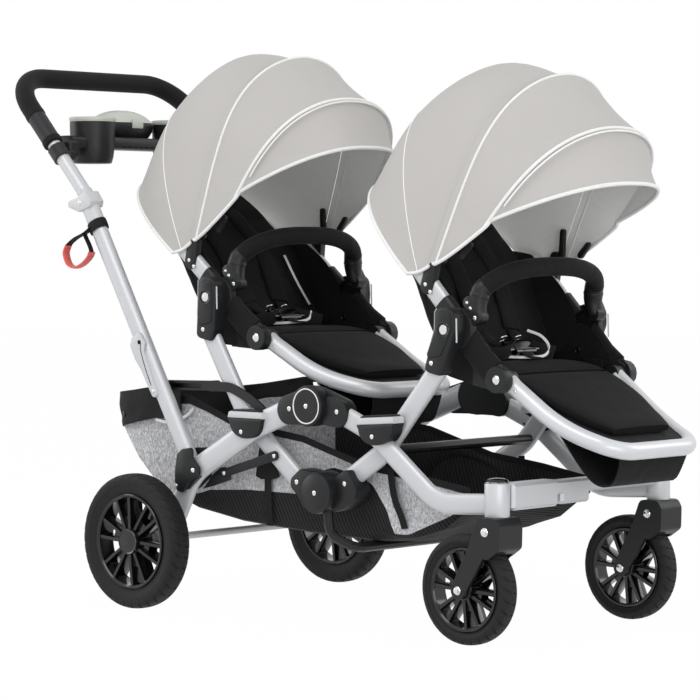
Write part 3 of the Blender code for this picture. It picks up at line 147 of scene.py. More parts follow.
def filleted(points, radii, steps=12):
    """A path whose corners are rounded to the radii."""
    points = [Vector(p) for p in points]
    if not isinstance(radii, list):
        radii = [radii] * (len(points) - 2)
    path = [points[0]]
    for before, corner, after, bend in zip(points, points[1:], points[2:], radii):
        a = (before - corner).normalized()
        b = (after - corner).normalized()
        half = a.angle(b) / 2
        reach = min(
            bend / math.tan(half), 0.49 * (before - corner).length, 0.49 * (after - corner).length
        )
        r = reach * math.tan(half)
        centre = corner + (a + b).normalized() * (r / math.sin(half))
        start = corner + a * reach - centre
        end = corner + b * reach - centre
        turn = start.angle(end)
        for i in range(steps + 1):
            t = i / steps
            path.append(
                centre + (start * math.sin((1 - t) * turn) + end * math.sin(t * turn)) / math.sin(turn)
            )
    path.append(points[-1])
    return path


def rounded(points, radii, steps=6):
    """A closed (x, z) outline with rounded corners, given once round."""
    line = filleted([(x, 0, z) for x, z in list(points) + [points[0]]], radii, steps)[:-1]
    return [(p.x, p.z) for p in line]


def across(points):
    """A left half path completed with its mirror image."""
    points = [Vector(p) for p in points]
    return points + [vec(p.x, -p.y, p.z) for p in reversed(points)]


def bow(root, apex, half_width, flare, rise, count=48, start=0.1):
    """A canopy hoop from its left foot over to its right, as side-view reach against width."""
    first = math.asin(start ** (1 / rise))
    points = []
    for i in range(count + 1):
        t = first + (math.pi - 2 * first) * i / count
        reach = math.sin(t) ** rise
        width = math.copysign(abs(math.cos(t)) ** flare, math.cos(t))
        points.append(
            vec(root[0] + (apex[0] - root[0]) * reach, half_width * width,
                root[1] + (apex[1] - root[1]) * reach)
        )
    return points


class Shape:
    """Points and faces of one piece, added bit by bit."""

    def __init__(self):
        self.points = []
        self.faces = []
        self.slots = []
        self.slot = 0

    def add(self, points, faces):
        start = len(self.points)
        self.points += [Vector(p) for p in points]
        self.faces += [[start + i for i in face] for face in faces]
        self.slots += [self.slot] * len(faces)
        return self

    def grid(self, rows, around=False, along=False):
        """A skin over rows of points, closed around each row or along the rows if asked."""
        count = len(rows[0])
        faces = []
        for i in range(len(rows) if along else len(rows) - 1):
            k = (i + 1) % len(rows)
            for j in range(count if around else count - 1):
                m = (j + 1) % count
                faces.append((i * count + j, i * count + m, k * count + m, k * count + j))
        return self.add([p for row in rows for p in row], faces)

    def tube(self, path, radius, sides=16, closed=False):
        """A round bar along a path. The radius may be one for each point."""
        radii = radius if isinstance(radius, (list, tuple)) else [radius] * len(path)
        rows = []
        for (p, along, normal, side), r in zip(frames(path, closed), radii):
            rows.append([p + normal * (r * math.cos(t)) + side * (r * math.sin(t)) for t in turns(sides)])
        if not closed:
            for end, way in ((0, -1), (-1, 1)):
                p, along = frames(path)[end][:2]
                r = radii[end]
                cap = [[p + along * way * r * 0.16 + (q - p) * 0.86 for q in rows[end]],
                       [p + along * way * r * 0.2 + (q - p) * 0.05 for q in rows[end]]]
                rows = cap[::-1] + rows if end == 0 else rows + cap
        return self.grid(rows, around=True, along=closed)

    def section(self, path, shape, side, closed=False):
        """A bar of any section along a path. The shape is (across, up) points and side the across way."""
        rows = []
        for p, along, _, _ in frames(path, closed):
            wide = Vector(side)
            wide = (wide - along * wide.dot(along)).normalized()
            up = along.cross(wide)
            rows.append([p + wide * a + up * b for a, b in shape])
        self.grid(rows, around=True, along=closed)
        if not closed:
            n = len(shape)
            total = len(self.points)
            first = total - n * len(rows)
            self.faces += [list(range(first, first + n))[::-1], list(range(total - n, total))]
            self.slots += [self.slot] * 2
        return self

    def strap(self, path, side, width, thick=0.0016):
        """A flat webbing band: side is its across direction."""
        w, t = width / 2, thick / 2
        return self.section(
            path, [(-w, -t * 0.4), (-w + t, -t), (w - t, -t), (w, -t * 0.4), (w, t * 0.4), (w - t, t),
                   (-w + t, t), (-w, t * 0.4)], side
        )

    def lathe(self, profile, centre, axis=ACROSS, steps=40):
        """A turned form: (radius, height) points about an axis."""
        axis = Vector(axis).normalized()
        u = axis.orthogonal().normalized()
        w = axis.cross(u)
        centre = Vector(centre)
        rows = [
            [centre + axis * h + (u * math.cos(t) + w * math.sin(t)) * max(r, 1e-5) for t in turns(steps)]
            for r, h in profile
        ]
        return self.grid(rows, around=True)

    def rivet(self, x, z, y, radius=0.0042, proud=0.0016):
        """A domed rivet on a side face, its head looking outward."""
        way = 1 if y > 0 else -1
        return self.lathe(
            [(radius, -0.001), (radius, proud * 0.3), (radius * 0.86, proud * 0.72),
             (radius * 0.5, proud), (radius * 0.34, proud), (radius * 0.3, proud * 0.5), (0, proud * 0.5)],
            (x, y, z), (0, way, 0), 18,
        )

    def plate(self, outline, y0, y1, ease=0.0012):
        """A plate of (x, z) outline between two y planes, its outer edge (y1) rounded over."""
        n = len(outline)
        cx = sum(p[0] for p in outline) / n
        cz = sum(p[1] for p in outline) / n
        ways = []
        for i, (x, z) in enumerate(outline):
            ax, az = outline[i - 1]
            bx, bz = outline[(i + 1) % n]
            nx, nz = bz - az, ax - bx
            size = math.hypot(nx, nz) or 1.0
            nx, nz = nx / size, nz / size
            if nx * (x - cx) + nz * (z - cz) < 0:
                nx, nz = -nx, -nz
            ways.append((nx, nz))
        out = 1 if y1 > y0 else -1
        rows = []
        for depth, inset in ((y0, 0.0), (y1 - out * ease, 0.0), (y1 - out * ease * 0.3, ease * 0.3),
                             (y1, ease)):
            rows.append([vec(x - w[0] * inset, depth, z - w[1] * inset)
                         for (x, z), w in zip(outline, ways)])
        self.grid(rows, around=True)
        total = len(self.points)
        self.faces += [list(range(total - n, total)), list(range(total - 4 * n, total - 3 * n))[::-1]]
        self.slots += [self.slot] * 2
        return self

    def mirrored(self):
        """Adds the right side's copy of everything here."""
        return self.add([(p.x, -p.y, p.z) for p in self.points], [f[::-1] for f in self.faces])

    def other_side(self):
        """The same shape on the right side only."""
        copy = Shape()
        copy.points = [vec(p.x, -p.y, p.z) for p in self.points]
        copy.faces = [f[::-1] for f in self.faces]
        copy.slots = list(self.slots)
        return copy

    def placed(self, matrix):
        self.points = [matrix @ p for p in self.points]
        return self


def stadium(a, b, radius_a, radius_b, count=12):
    """The outline round two circles."""
    along = math.atan2(b[1] - a[1], b[0] - a[0])
    span = math.hypot(b[0] - a[0], b[1] - a[1])
    quarter = math.pi / 2 - math.asin((radius_a - radius_b) / span)
    out = []
    for centre, radius, start, sweep in (
        (b, radius_b, along - quarter, 2 * quarter), (a, radius_a, along + quarter, 2 * (math.pi - quarter))
    ):
        for i in range(count + 1):
            t = start + sweep * i / count
            out.append((centre[0] + radius * math.cos(t), centre[1] + radius * math.sin(t)))
    return out


def oval_section(thick, high, count=28, square=2.6):
    """A flattened round section, (across, up)."""
    out = []
    for t in turns(count):
        c, s = math.cos(t), math.sin(t)
        out.append((thick / 2 * math.copysign(abs(c) ** (2 / square), c),
                    high / 2 * math.copysign(abs(s) ** (2 / square), s)))
    return out


def piece(name, shape, mats, body, slot=None, sharp=38, stands_for=()):
    """Makes the shape a named piece that rides on a body.

    A slot is looked up from its first finish, unless another slot is named, but nothing uses it.
    """
    mats = mats if isinstance(mats, (list, tuple)) else [mats]
    mesh = bpy.data.meshes.new(name)
    mesh.from_pydata([tuple(p) for p in shape.points], [], shape.faces)
    for polygon, index in zip(mesh.polygons, shape.slots):
        polygon.material_index = index
    bm = bmesh.new()
    bm.from_mesh(mesh)
    bmesh.ops.remove_doubles(bm, verts=bm.verts, dist=0.00003)
    bmesh.ops.dissolve_degenerate(bm, dist=0.00003, edges=bm.edges)
    bmesh.ops.recalc_face_normals(bm, faces=bm.faces)
    bm.to_mesh(mesh)
    bm.free()
    for mat in mats:
        mesh.materials.append(mat)
    mesh.shade_smooth()
    mesh.set_sharp_from_angle(angle=math.radians(sharp))
    obj = bpy.data.objects.new(name, mesh)
    bpy.context.scene.collection.objects.link(obj)
    if body:
        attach(obj, body)
    slot = slot or SLOT_OF.get(mats[0].name)
    if stands_for:
        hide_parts(*stands_for)
    return obj


def pair(name, shape, mats, body, node=None):
    """A piece on the left and its mirror image on the right, each in place of its side's node."""
    for tag, form in (("L", shape), ("R", shape.other_side())):
        piece(f"{name}_{tag}", form, mats, body, stands_for=[f"{node}_{tag}"] if node else ())


# Materials

class Nodes:
    """A short way to write a node tree."""

    def __init__(self, mat):
        self.tree = mat.node_tree
        self.shader = self.tree.nodes["Principled BSDF"]

    def make(self, kind, **values):
        node = self.tree.nodes.new(kind)
        for key, value in values.items():
            if key in node.inputs.keys():
                node.inputs[key].default_value = value
            else:
                setattr(node, key, value)
        return node

    def link(self, a, b):
        self.tree.links.new(a, b)

    def mix(self, factor, a, b):
        node = self.make("ShaderNodeMix", data_type="RGBA")
        self.link(factor, node.inputs[0])
        for index, value in ((6, a), (7, b)):
            if isinstance(value, (tuple, list)):
                node.inputs[index].default_value = (*value[:3], 1.0)
            else:
                self.link(value, node.inputs[index])
        return node.outputs[2]


def material(name, colour, rough, metal=0.0, coat=0.0, sheen=0.0, mottle=(18.0, 0.06), spread=0.05,
             grain=(900.0, 0.25, 0.00015), weave=None, ribs=None, folds=None, fleck=None, edge=0.0,
             specular=0.5):
    """A finish with its own colour drift, roughness drift, grain, weave, ribs or folds, all by nodes.

    Mottle is a scale and a share of the colour. Grain, weave, ribs and folds start with a scale, a bump
    strength and a bump depth; the weave ends with the share of painted shade in its gaps and the ribs with
    their turn. The grooves between the ribs are painted darker as well, as painted shade.
    Fleck is a scale and a colour.
    """
    mat = bpy.data.materials.new(name)
    mat.use_nodes = True
    mat.diffuse_color = (*colour, 1.0)
    n = Nodes(mat)
    for key, value in {"Metallic": metal, "Coat Weight": coat, "Coat Roughness": 0.12,
                       "Sheen Weight": sheen,
                       "Sheen Roughness": 0.4, "Specular IOR Level": specular}.items():
        n.shader.inputs[key].default_value = value
    where = n.make("ShaderNodeTexCoord").outputs["Object"]

    def texture(kind, source=where, **values):
        node = n.make(kind, **values)
        n.link(source, node.inputs["Vector"])
        return node

    def ranged(source, **values):
        node = n.make("ShaderNodeMapRange", **{key.replace("_", " "): v for key, v in values.items()})
        n.link(source, node.inputs["Value"])
        return node.outputs[0]

    def shaded(share):
        return tuple(min(1.0, c * share) for c in colour)

    drift = texture("ShaderNodeTexNoise", Scale=mottle[0], Detail=5.0, Roughness=0.6)
    shade = n.mix(drift.outputs[0], shaded(1 - mottle[1]), shaded(1 + mottle[1]))
    if fleck:
        stretch = texture("ShaderNodeMapping", Scale=(1.0, 1.0, 0.55))
        specks = texture("ShaderNodeTexNoise", stretch.outputs[0], Scale=fleck[0], Detail=6.0,
                         Roughness=0.85)
        shade = n.mix(ranged(specks.outputs[0], From_Min=0.4, From_Max=0.62), fleck[1], shade)
    fine = texture("ShaderNodeTexNoise", Scale=grain[0], Detail=3.0)
    heights = [(fine.outputs[0], grain[1], grain[2])]
    if weave:
        cells = texture("ShaderNodeTexVoronoi", distance="CHEBYCHEV", Scale=weave[0], Randomness=0.12)
        gaps = cells.outputs["Distance"]
        heights.append((gaps, weave[1], weave[2]))
        # The weave's gaps are painted darker: painted shade between the threads.
        shade = n.mix(ranged(gaps, From_Min=0.25, From_Max=0.65, To_Max=weave[3]), shade, shaded(0.55))
    if ribs:
        way = texture("ShaderNodeMapping", Rotation=ribs[3])
        bands = texture("ShaderNodeTexWave", way.outputs[0], wave_type="BANDS", bands_direction="X",
                        Scale=ribs[0], Distortion=1.2, Detail=1.0)
        bands.inputs["Detail Scale"].default_value = 0.4
        heights.append((bands.outputs["Fac"], ribs[1], ribs[2]))
        # The grooves between the ribs are painted near black: painted shade in the grooves.
        shade = n.mix(bands.outputs["Fac"], shaded(0.15), shade)
    if folds:
        crease = texture("ShaderNodeTexNoise", Scale=folds[0], Detail=2.0, Distortion=0.6)
        heights.append((crease.outputs[0], folds[1], folds[2]))
    n.link(shade, n.shader.inputs["Base Color"])
    rough_drift = ranged(drift.outputs[0], To_Min=max(0.02, rough - spread),
                         To_Max=min(1.0, rough + spread))
    n.link(rough_drift, n.shader.inputs["Roughness"])
    normal = n.make("ShaderNodeBevel", samples=4, Radius=edge).outputs[0] if edge else None
    for height, strength, distance in heights:
        bump = n.make("ShaderNodeBump", Strength=strength, Distance=distance)
        n.link(height, bump.inputs["Height"])
        if normal:
            n.link(normal, bump.inputs["Normal"])
        normal = bump.outputs[0]
    n.link(normal, n.shader.inputs["Normal"])
    return mat


SILVER = material("anodised_silver", (0.56, 0.57, 0.585), 0.4, metal=0.25, mottle=(9.0, 0.035),
                  grain=(1600.0, 0.18, 0.00008), edge=0.0008)
BRIGHT = material("leg_rest_tube_silver", (0.6, 0.61, 0.625), 0.34, metal=0.2, coat=0.1,
                  mottle=(9.0, 0.03), grain=(1600.0, 0.08, 0.00006))
PLASTIC = material("moulded_black_plastic", (0.0115, 0.012, 0.013), 0.4, specular=0.3, mottle=(30.0, 0.12),
                   grain=(1300.0, 0.35, 0.00012), edge=0.001)
GLOSS = material("gloss_black_plastic", (0.0035, 0.0035, 0.004), 0.14, coat=0.2, specular=0.4,
                 mottle=(30.0, 0.1), spread=0.03, grain=(500.0, 0.04, 0.0001), edge=0.0008)
RUBBER = material("tyre_rubber", (0.0135, 0.0135, 0.014), 0.64, specular=0.22, mottle=(60.0, 0.18),
                  grain=(1500.0, 0.5, 0.0002), spread=0.1)
FOAM = material("grip_foam", (0.008, 0.008, 0.0085), 0.8, sheen=0.05, specular=0.2, mottle=(50.0, 0.15),
                grain=(2200.0, 0.55, 0.0002))
SLEEVE = material("soft_touch_sleeve", (0.016, 0.0165, 0.019), 0.5, specular=0.3, mottle=(40.0, 0.1),
                  grain=(1800.0, 0.3, 0.0001))
DARK_TUBE = material("dark_painted_tube", (0.009, 0.009, 0.01), 0.3, metal=0.1, specular=0.4,
                     mottle=(20.0, 0.1), grain=(1500.0, 0.12, 0.0001))
GREY = material("pale_grey_plastic", (0.5, 0.52, 0.46), 0.36, coat=0.1, mottle=(12.0, 0.04),
                grain=(1200.0, 0.2, 0.0001), edge=0.001)
LIGHT_GREY = material("light_grey_plastic", (0.56, 0.57, 0.58), 0.42, mottle=(12.0, 0.04),
                      grain=(1200.0, 0.25, 0.0001), edge=0.001)
RED = material("red_plastic", (0.23, 0.015, 0.015), 0.42, mottle=(30.0, 0.1),
               grain=(1200.0, 0.3, 0.0001), edge=0.001)
CORAL = material("coral_grip", (0.72, 0.13, 0.11), 0.5, mottle=(60.0, 0.12),
                 grain=(1300.0, 0.4, 0.0002))
CHROME = material("bright_rivet_steel", (0.72, 0.72, 0.72), 0.2, metal=0.95, mottle=(80.0, 0.06),
                  grain=(1500.0, 0.1, 0.0001))
BRASS = material("warm_bolt_steel", (0.6, 0.55, 0.42), 0.28, metal=0.9, mottle=(80.0, 0.08),
                 grain=(1500.0, 0.12, 0.0001))
CANOPY = material("canopy_cloth", (0.5, 0.482, 0.463), 0.88, sheen=0.08, specular=0.25, mottle=(7.0, 0.035),
                  grain=(2600.0, 0.3, 0.00015), weave=(1500.0, 0.22, 0.00016, 0.16),
                  folds=(9.0, 0.22, 0.004))
LINING = material("canopy_lining", (0.97, 0.96, 0.93), 0.9, sheen=0.08, specular=0.25, mottle=(9.0, 0.06),
                  grain=(2600.0, 0.3, 0.00015), weave=(1300.0, 0.25, 0.00016, 0.2),
                  folds=(14.0, 0.5, 0.006))
PIPING = material("white_piping", (0.8, 0.8, 0.785), 0.6, sheen=0.1, mottle=(90.0, 0.04),
                  grain=(1900.0, 0.4, 0.0002))
CLOTH = material("black_seat_cloth", (0.0075, 0.0075, 0.0082), 0.8, sheen=0.05, specular=0.18,
                 mottle=(14.0, 0.22), grain=(2600.0, 0.35, 0.00018), weave=(1250.0, 0.3, 0.00018, 0.25),
                 folds=(22.0, 0.45, 0.006))
PAD = material("seat_pad_cloth", (0.006, 0.006, 0.0064), 0.8, sheen=0.03, specular=0.12, mottle=(10.0, 0.2),
               grain=(2600.0, 0.3, 0.00018), weave=(1400.0, 0.25, 0.00016, 0.2),
               folds=(12.0, 0.25, 0.005))
WEBBING = material("black_webbing", (0.008, 0.008, 0.0085), 0.7, specular=0.25, mottle=(120.0, 0.25),
                   grain=(1800.0, 0.4, 0.0002), ribs=(330.0, 0.5, 0.0003, (0.0, 0.6, 0.8)))
MELANGE = material("melange_grey_cloth", (0.8, 0.8, 0.82), 0.88, specular=0.25, mottle=(260.0, 0.16),
                   grain=(1500.0, 0.6, 0.0003), fleck=(300.0, (0.27, 0.27, 0.28)),
                   folds=(11.0, 0.35, 0.006))
MESH = material("black_ribbed_mesh", (0.026, 0.026, 0.028), 0.7, specular=0.2, mottle=(40.0, 0.2),
                grain=(1200.0, 0.4, 0.0002), ribs=(40.0, 0.9, 0.0016, (0.0, math.radians(22), 0.0)),
                folds=(10.0, 0.25, 0.005))
HEM = material("black_binding_cloth", (0.011, 0.011, 0.012), 0.72, specular=0.2, mottle=(24.0, 0.2),
               grain=(2000.0, 0.4, 0.0002), weave=(1100.0, 0.3, 0.0002, 0.25),
               folds=(26.0, 0.4, 0.004))
REFLECT = material("white_reflective_tape", (0.78, 0.78, 0.77), 0.35, mottle=(90.0, 0.04),
                   grain=(2600.0, 0.3, 0.0001))

# The slot of the record that each finish belongs to, where it has one
SLOT_OF = {mat.name: slot for slot, mats in {
    "silver": (SILVER, BRIGHT), "black_plastic": (PLASTIC,), "gloss_black": (GLOSS,), "rubber": (RUBBER,),
    "foam": (FOAM, SLEEVE), "grey_plastic": (GREY, LIGHT_GREY), "chrome": (CHROME, BRASS),
    "black_cloth": (CLOTH, PAD, WEBBING, HEM),
}.items() for mat in mats}

# Finishes of the solids that show as they are
BY_NODE = {
    "rear_axle": BRIGHT, "front_crossbar": SILVER, "pivot_cross_tube": DARK_TUBE, "fork": PLASTIC,
    "rim": GLOSS, "brake_pedal": RED, "mount": PLASTIC, "release_button": CHROME,
    "legrest_button": CHROME, "lower_link": PLASTIC, "handle_brace": DARK_TUBE, "handle_bar": SILVER,
    "parent_tray": PLASTIC, "tray_lid": GREY, "seat_frame": PLASTIC, "arm": SILVER, "leg": SILVER,
    "handle_tube": SILVER, "tyre": RUBBER, "legrest_tube": BRIGHT,
}
for name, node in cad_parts.items():
    chosen = next((m for key, m in BY_NODE.items() if key in name), CLOTH)
    node.data.materials.clear()
    node.data.materials.append(chosen)


# Camera, floor and light

AZIMUTH, ELEVATION = math.radians(42.627), math.radians(2.151)
TARGET = vec(0, 0, 0.48556)
DISTANCE = 5.27306
back = vec(math.sin(AZIMUTH) * math.cos(ELEVATION), -math.cos(AZIMUTH) * math.cos(ELEVATION),
           math.sin(ELEVATION))
camera = bpy.data.objects.new("camera", bpy.data.cameras.new("camera"))
bpy.context.scene.collection.objects.link(camera)
camera.data.lens = 144.36
camera.data.sensor_width = 36.0
camera.data.clip_end = 60.0
camera.location = TARGET + back * DISTANCE
camera.rotation_mode = "QUATERNION"
camera.rotation_quaternion = (-back).to_track_quat("-Z", "Y")
bpy.context.scene.camera = camera
bpy.context.scene.view_settings.view_transform = "Standard"


def seen_white(tree, lit, strength):
    """Mixes a plain white with what is lit, for rays from the camera and through gloss or glass."""
    rays = tree.nodes.new("ShaderNodeLightPath")
    total = rays.outputs["Is Camera Ray"]
    for other in ("Is Glossy Ray", "Is Transmission Ray"):
        most = tree.nodes.new("ShaderNodeMath")
        most.operation = "MAXIMUM"
        tree.links.new(total, most.inputs[0])
        tree.links.new(rays.outputs[other], most.inputs[1])
        total = most.outputs[0]
    share = tree.nodes.new("ShaderNodeMath")
    share.operation = "MULTIPLY"
    share.inputs[1].default_value = strength
    tree.links.new(total, share.inputs[0])
    white = tree.nodes.new("ShaderNodeEmission" if strength < 1 else "ShaderNodeBackground")
    white.inputs["Color"].default_value = (1, 1, 1, 1)
    mix = tree.nodes.new("ShaderNodeMixShader")
    tree.links.new(share.outputs[0], mix.inputs[0])
    tree.links.new(lit, mix.inputs[1])
    tree.links.new(white.outputs[0], mix.inputs[2])
    return mix.outputs[0]


floor = bpy.data.objects.new("floor", bpy.data.meshes.new("floor"))
floor.data.from_pydata([(-14, -14, 0), (14, -14, 0), (14, 14, 0), (-14, 14, 0)], [], [(0, 1, 2, 3)])
bpy.context.scene.collection.objects.link(floor)
floor_mat = bpy.data.materials.new("pale_floor")
floor_mat.use_nodes = True
tree = floor_mat.node_tree
tree.nodes["Principled BSDF"].inputs["Base Color"].default_value = (0.86, 0.86, 0.86, 1)
tree.nodes["Principled BSDF"].inputs["Roughness"].default_value = 0.9
tree.links.new(seen_white(tree, tree.nodes["Principled BSDF"].outputs[0], 0.985),
               tree.nodes["Material Output"].inputs[0])
floor.data.materials.append(floor_mat)

world = bpy.data.worlds.new("studio")
world.use_nodes = True
bpy.context.scene.world = world
tree = world.node_tree
tree.nodes["Background"].inputs["Color"].default_value = (0.97, 0.98, 1.0, 1)
tree.nodes["Background"].inputs["Strength"].default_value = 0.62
tree.links.new(seen_white(tree, tree.nodes["Background"].outputs[0], 1.0),
               tree.nodes["World Output"].inputs[0])


def softbox(name, place, size, power):
    lamp = bpy.data.objects.new(name, bpy.data.lights.new(name, "AREA"))
    lamp.data.shape = "RECTANGLE"
    lamp.data.size, lamp.data.size_y = size
    lamp.data.energy = power
    lamp.location = place
    lamp.rotation_mode = "QUATERNION"
    lamp.rotation_quaternion = (vec(0, 0, 0.5) - Vector(place)).to_track_quat("-Z", "Y")
    bpy.context.scene.collection.objects.link(lamp)


softbox("key", (0.6, -2.6, 3.4), (2.6, 2.0), 54)
softbox("left", (-3.2, -1.4, 1.9), (1.4, 2.6), 30)
softbox("rim", (2.4, 2.6, 2.4), (2.0, 2.0), 34)
softbox("front", (3.4, -1.8, 0.9), (2.4, 1.6), 32)


# Side frames

def leg_path(points, radius):
    return filleted([(x, LEG_Y, z) for x, z in points], radius, 14)


rear_line = leg_path([(0.092, 0.397), (-0.03, 0.35), (-0.192, 0.258), (-0.24, 0.168), REAR_AXLE], 0.11)
front_line = leg_path([(0.152, 0.396), (0.262, 0.352), (0.412, 0.237), (0.534, 0.2435)], 0.1)
rear_leg = Shape().section(rear_line, oval_section(TUBE_THICK, 0.044), ACROSS)
front_leg = Shape().section(front_line, oval_section(TUBE_THICK, 0.036), ACROSS)
front_leg.lathe(
    [(0.0165, 0.2225), (0.0205, 0.2232), (0.0216, 0.2255), (0.0216, 0.279), (0.0208, 0.2806),
     (0.019, 0.281)], (*CASTER, 0), UPRIGHT, 48,
)
housing_cap = Shape().lathe(
    [(0.0205, 0.2795), (0.0208, 0.2826), (0.018, 0.2866), (0.012, 0.289), (0.0045, 0.2898), (0, 0.29)],
    (*CASTER, 0), UPRIGHT, 48,
)
cap_ring = Shape().tube([(CASTER[0] + 0.02 * math.cos(t), CASTER[1] + 0.02 * math.sin(t), 0.2822)
                         for t in turns(40)], 0.0009, 8, closed=True)
foot_boss = [(0, 0), (0.0185, 0), (0.019, 0.001), (0.019, 0.027), (0.018, 0.028), (0, 0.028)]
rear_leg.lathe(foot_boss, (REAR_AXLE[0], LEG_Y - 0.014, REAR_AXLE[1]))


def ear(hub, end, half, y0, y1):
    return Shape().plate(stadium(hub, end, 0.0342, half, 20), y0, y1, 0.0022)


def leg_cap(centre_x, top_z, slope):
    """The rounded apron over a crossing, the pale band on top of it and the dark strip on that."""
    half = 0.0435
    band = 0.0122

    def sloped(points):
        return [(centre_x + x, top_z + z + slope * x) for x, z in points]

    apron = [(half, -band)]
    for i in range(1, 28):
        t = math.pi * i / 28
        apron.append((half * 0.95 * math.cos(t), -band - 0.0372 * math.sin(t) ** 0.8))
    apron.append((-half, -band))
    top = [(-half, -band), (half, -band), (half - 0.0008, -0.0035), (half - 0.003, -0.0006),
           (half - 0.008, 0.0), (-half + 0.008, 0.0), (-half + 0.003, -0.0006), (-half + 0.0008, -0.0035)]
    shape = Shape().plate(sloped(apron), 0.214, 0.2423, 0.0025)
    shape.slot = 1
    shape.plate(sloped(top), 0.214, 0.2428, 0.0022)
    shape.slot = 0
    shape.plate(sloped([(-0.036, 0.0), (0.037, 0.0), (0.033, 0.0036), (-0.031, 0.0036)]), 0.215, 0.2408)
    shape.plate(sloped([(0.018, -band - 0.012), (0.021, -band - 0.012), (0.0195, -band - 0.02),
                        (0.0165, -band - 0.02)]), 0.2415, 0.2431, 0.0003)
    return shape


bracket = rounded([(-0.214, 0.262), (-0.207, 0.303), (-0.156, 0.306), (-0.15, 0.296), (-0.161, 0.25),
                   (-0.192, 0.227), (-0.206, 0.224)], 0.008)
cheek = rounded([(-0.2235, 0.262), (-0.218, 0.292), (-0.205, 0.302), (-0.1775, 0.3065), (-0.1768, 0.287),
                 (-0.159, 0.269), (-0.159, 0.256), (-0.182, 0.244), (-0.202, 0.2205),
                 (-0.2185, 0.2225), (-0.224, 0.242)], 0.007)
toe = [(-0.2135, 0.262), (-0.19, 0.243), (-0.162, 0.253), (-0.192, 0.2275), (-0.2055, 0.2245)]
hub_x, hub_z = UPPER_HUB
covers_rear = ear(UPPER_HUB, (hub_x - 0.056, hub_z - 0.009), 0.0268, 0.2228, 0.2382)
covers_rear.plate(cheek, 0.2372, 0.2424, 0.002).plate(bracket, 0.2102, 0.2054, 0.0014)
covers_rear.plate(toe, 0.209, 0.238)
covers_rear.lathe(
    [(0, 0), (0.035, 0), (0.0366, 0.002), (0.0368, 0.022), (0.036, 0.0248), (0.0335, 0.0262),
     (0.0322, 0.0262), (0.0318, 0.0254), (0.03, 0.0254), (0.0294, 0.0262), (0.012, 0.0268),
     (0.0075, 0.0262), (0, 0.0262)], (hub_x, LEG_Y - 0.0005, hub_z), steps=64,
)
hub_ring = Shape().tube([(hub_x + 0.031 * math.cos(t), 0.2488, hub_z + 0.031 * math.sin(t))
                         for t in turns(72)], 0.0013, 8, closed=True)
covers_front = ear(UPPER_HUB, (hub_x + 0.062, hub_z - 0.01), 0.0248, 0.2092, 0.2236)
overlap = stadium((hub_x + 0.046, hub_z - 0.008), (hub_x + 0.064, hub_z - 0.012), 0.0262, 0.0246, 16)
covers_front.plate([(x, z) for x, z in overlap if math.hypot(x - hub_x, z - hub_z) > 0.0375],
                   0.212, 0.2375, 0.002)


def rivets(*places):
    """Rivets at (x, z, y, radius)."""
    shape = Shape()
    for place in places:
        shape.rivet(*place)
    return shape


for frame_name, leg, covers, cap, studs in (
    ("rear", rear_leg, covers_rear, leg_cap(-0.0386, 0.3785, 0.0),
     rivets((0.07, 0.388, 0.2382, 0.0045), (-0.0485, 0.341, 0.2423, 0.0042),
            (-0.1745, 0.2634, 0.2424, 0.0048), (hub_x, hub_z, 0.2496, 0.0045))),
    ("front", front_leg, covers_front, leg_cap(0.2818, 0.3815, 0.072),
     rivets((0.186, 0.387, 0.2375, 0.0045), (0.2745, 0.347, 0.2423, 0.0042))),
):
    body = f"{frame_name}_frame"
    pair(f"{frame_name}_leg_tube", leg, SILVER, body, f"{frame_name}_leg")
    pair(f"{frame_name}_leg_covers", covers, PLASTIC, body)
    pair(f"{frame_name}_leg_cap", cap, [PLASTIC, LIGHT_GREY], body)
    pair(f"{frame_name}_rivets", studs, CHROME, body)
pair("hub_ring", hub_ring, PIPING, "rear_frame")
pair("caster_cap", housing_cap, GLOSS, "front_frame")
pair("caster_cap_ring", cap_ring, CHROME, "front_frame")
bolts = Shape().lathe([(0.0045, 0), (0.0045, 0.006), (0.003, 0.0075), (0, 0.0078)],
                      (-0.218, 0.236, 0.232), (-0.35, 0.9, 0.2), 16).mirrored()
piece("bracket_bolts", bolts, BRASS, "rear_frame")


# Seat arms and the lower hubs

def arm_path(top, middle, foot, clear):
    """An arm's line from its seat towards the lower hub, ended a clear way from the hub's middle."""
    line = even(filleted([(x, ARM_Y, z) for x, z in (top, middle, foot)], 0.08, 14), 90)
    return [p for p in line if math.hypot(p.x - LOWER_HUB[0], p.z - LOWER_HUB[1]) > clear]


for label, path, crossing, outline, pin in (
    ("rear", arm_path(ARM_TOPS["rear"], (-0.076, 0.366), (0.1, 0.22), 0.047), REAR_CROSSING,
     [(0.11, 0.206), (0.081, 0.226), (0.06, 0.246), (0.06, 0.261), (0.0845, 0.2805),
      (0.106, 0.276), (0.128, 0.262)], (0.0758, 0.2553)),
    ("front", arm_path(ARM_TOPS["front"], (0.262, 0.315), (0.15, 0.243), 0.044), FRONT_CROSSING,
     [(0.16, 0.262), (0.193, 0.2835), (0.202, 0.2822), (0.2215, 0.2495), (0.217, 0.231),
      (0.19, 0.213), (0.16, 0.203)], (0.193, 0.2585)),
):
    tube = Shape().section(path, oval_section(TUBE_THICK, 0.038), ACROSS)
    tube.lathe([(0, 0.2075), (0.0139, 0.2075), (0.0139, 0.2132), (0, 0.2132)],
               (crossing[0], 0, crossing[1]))
    body = f"{label}_arms"
    pair(f"{label}_arm_tube", tube, SILVER, body, f"{label}_arm")
    pair(f"{label}_arm_ear", Shape().plate(rounded(outline, 0.012), 0.187, 0.225, 0.0022), PLASTIC, body)
    pair(f"{label}_arm_rivet", rivets((*pin, 0.225, 0.0045)), CHROME, body)

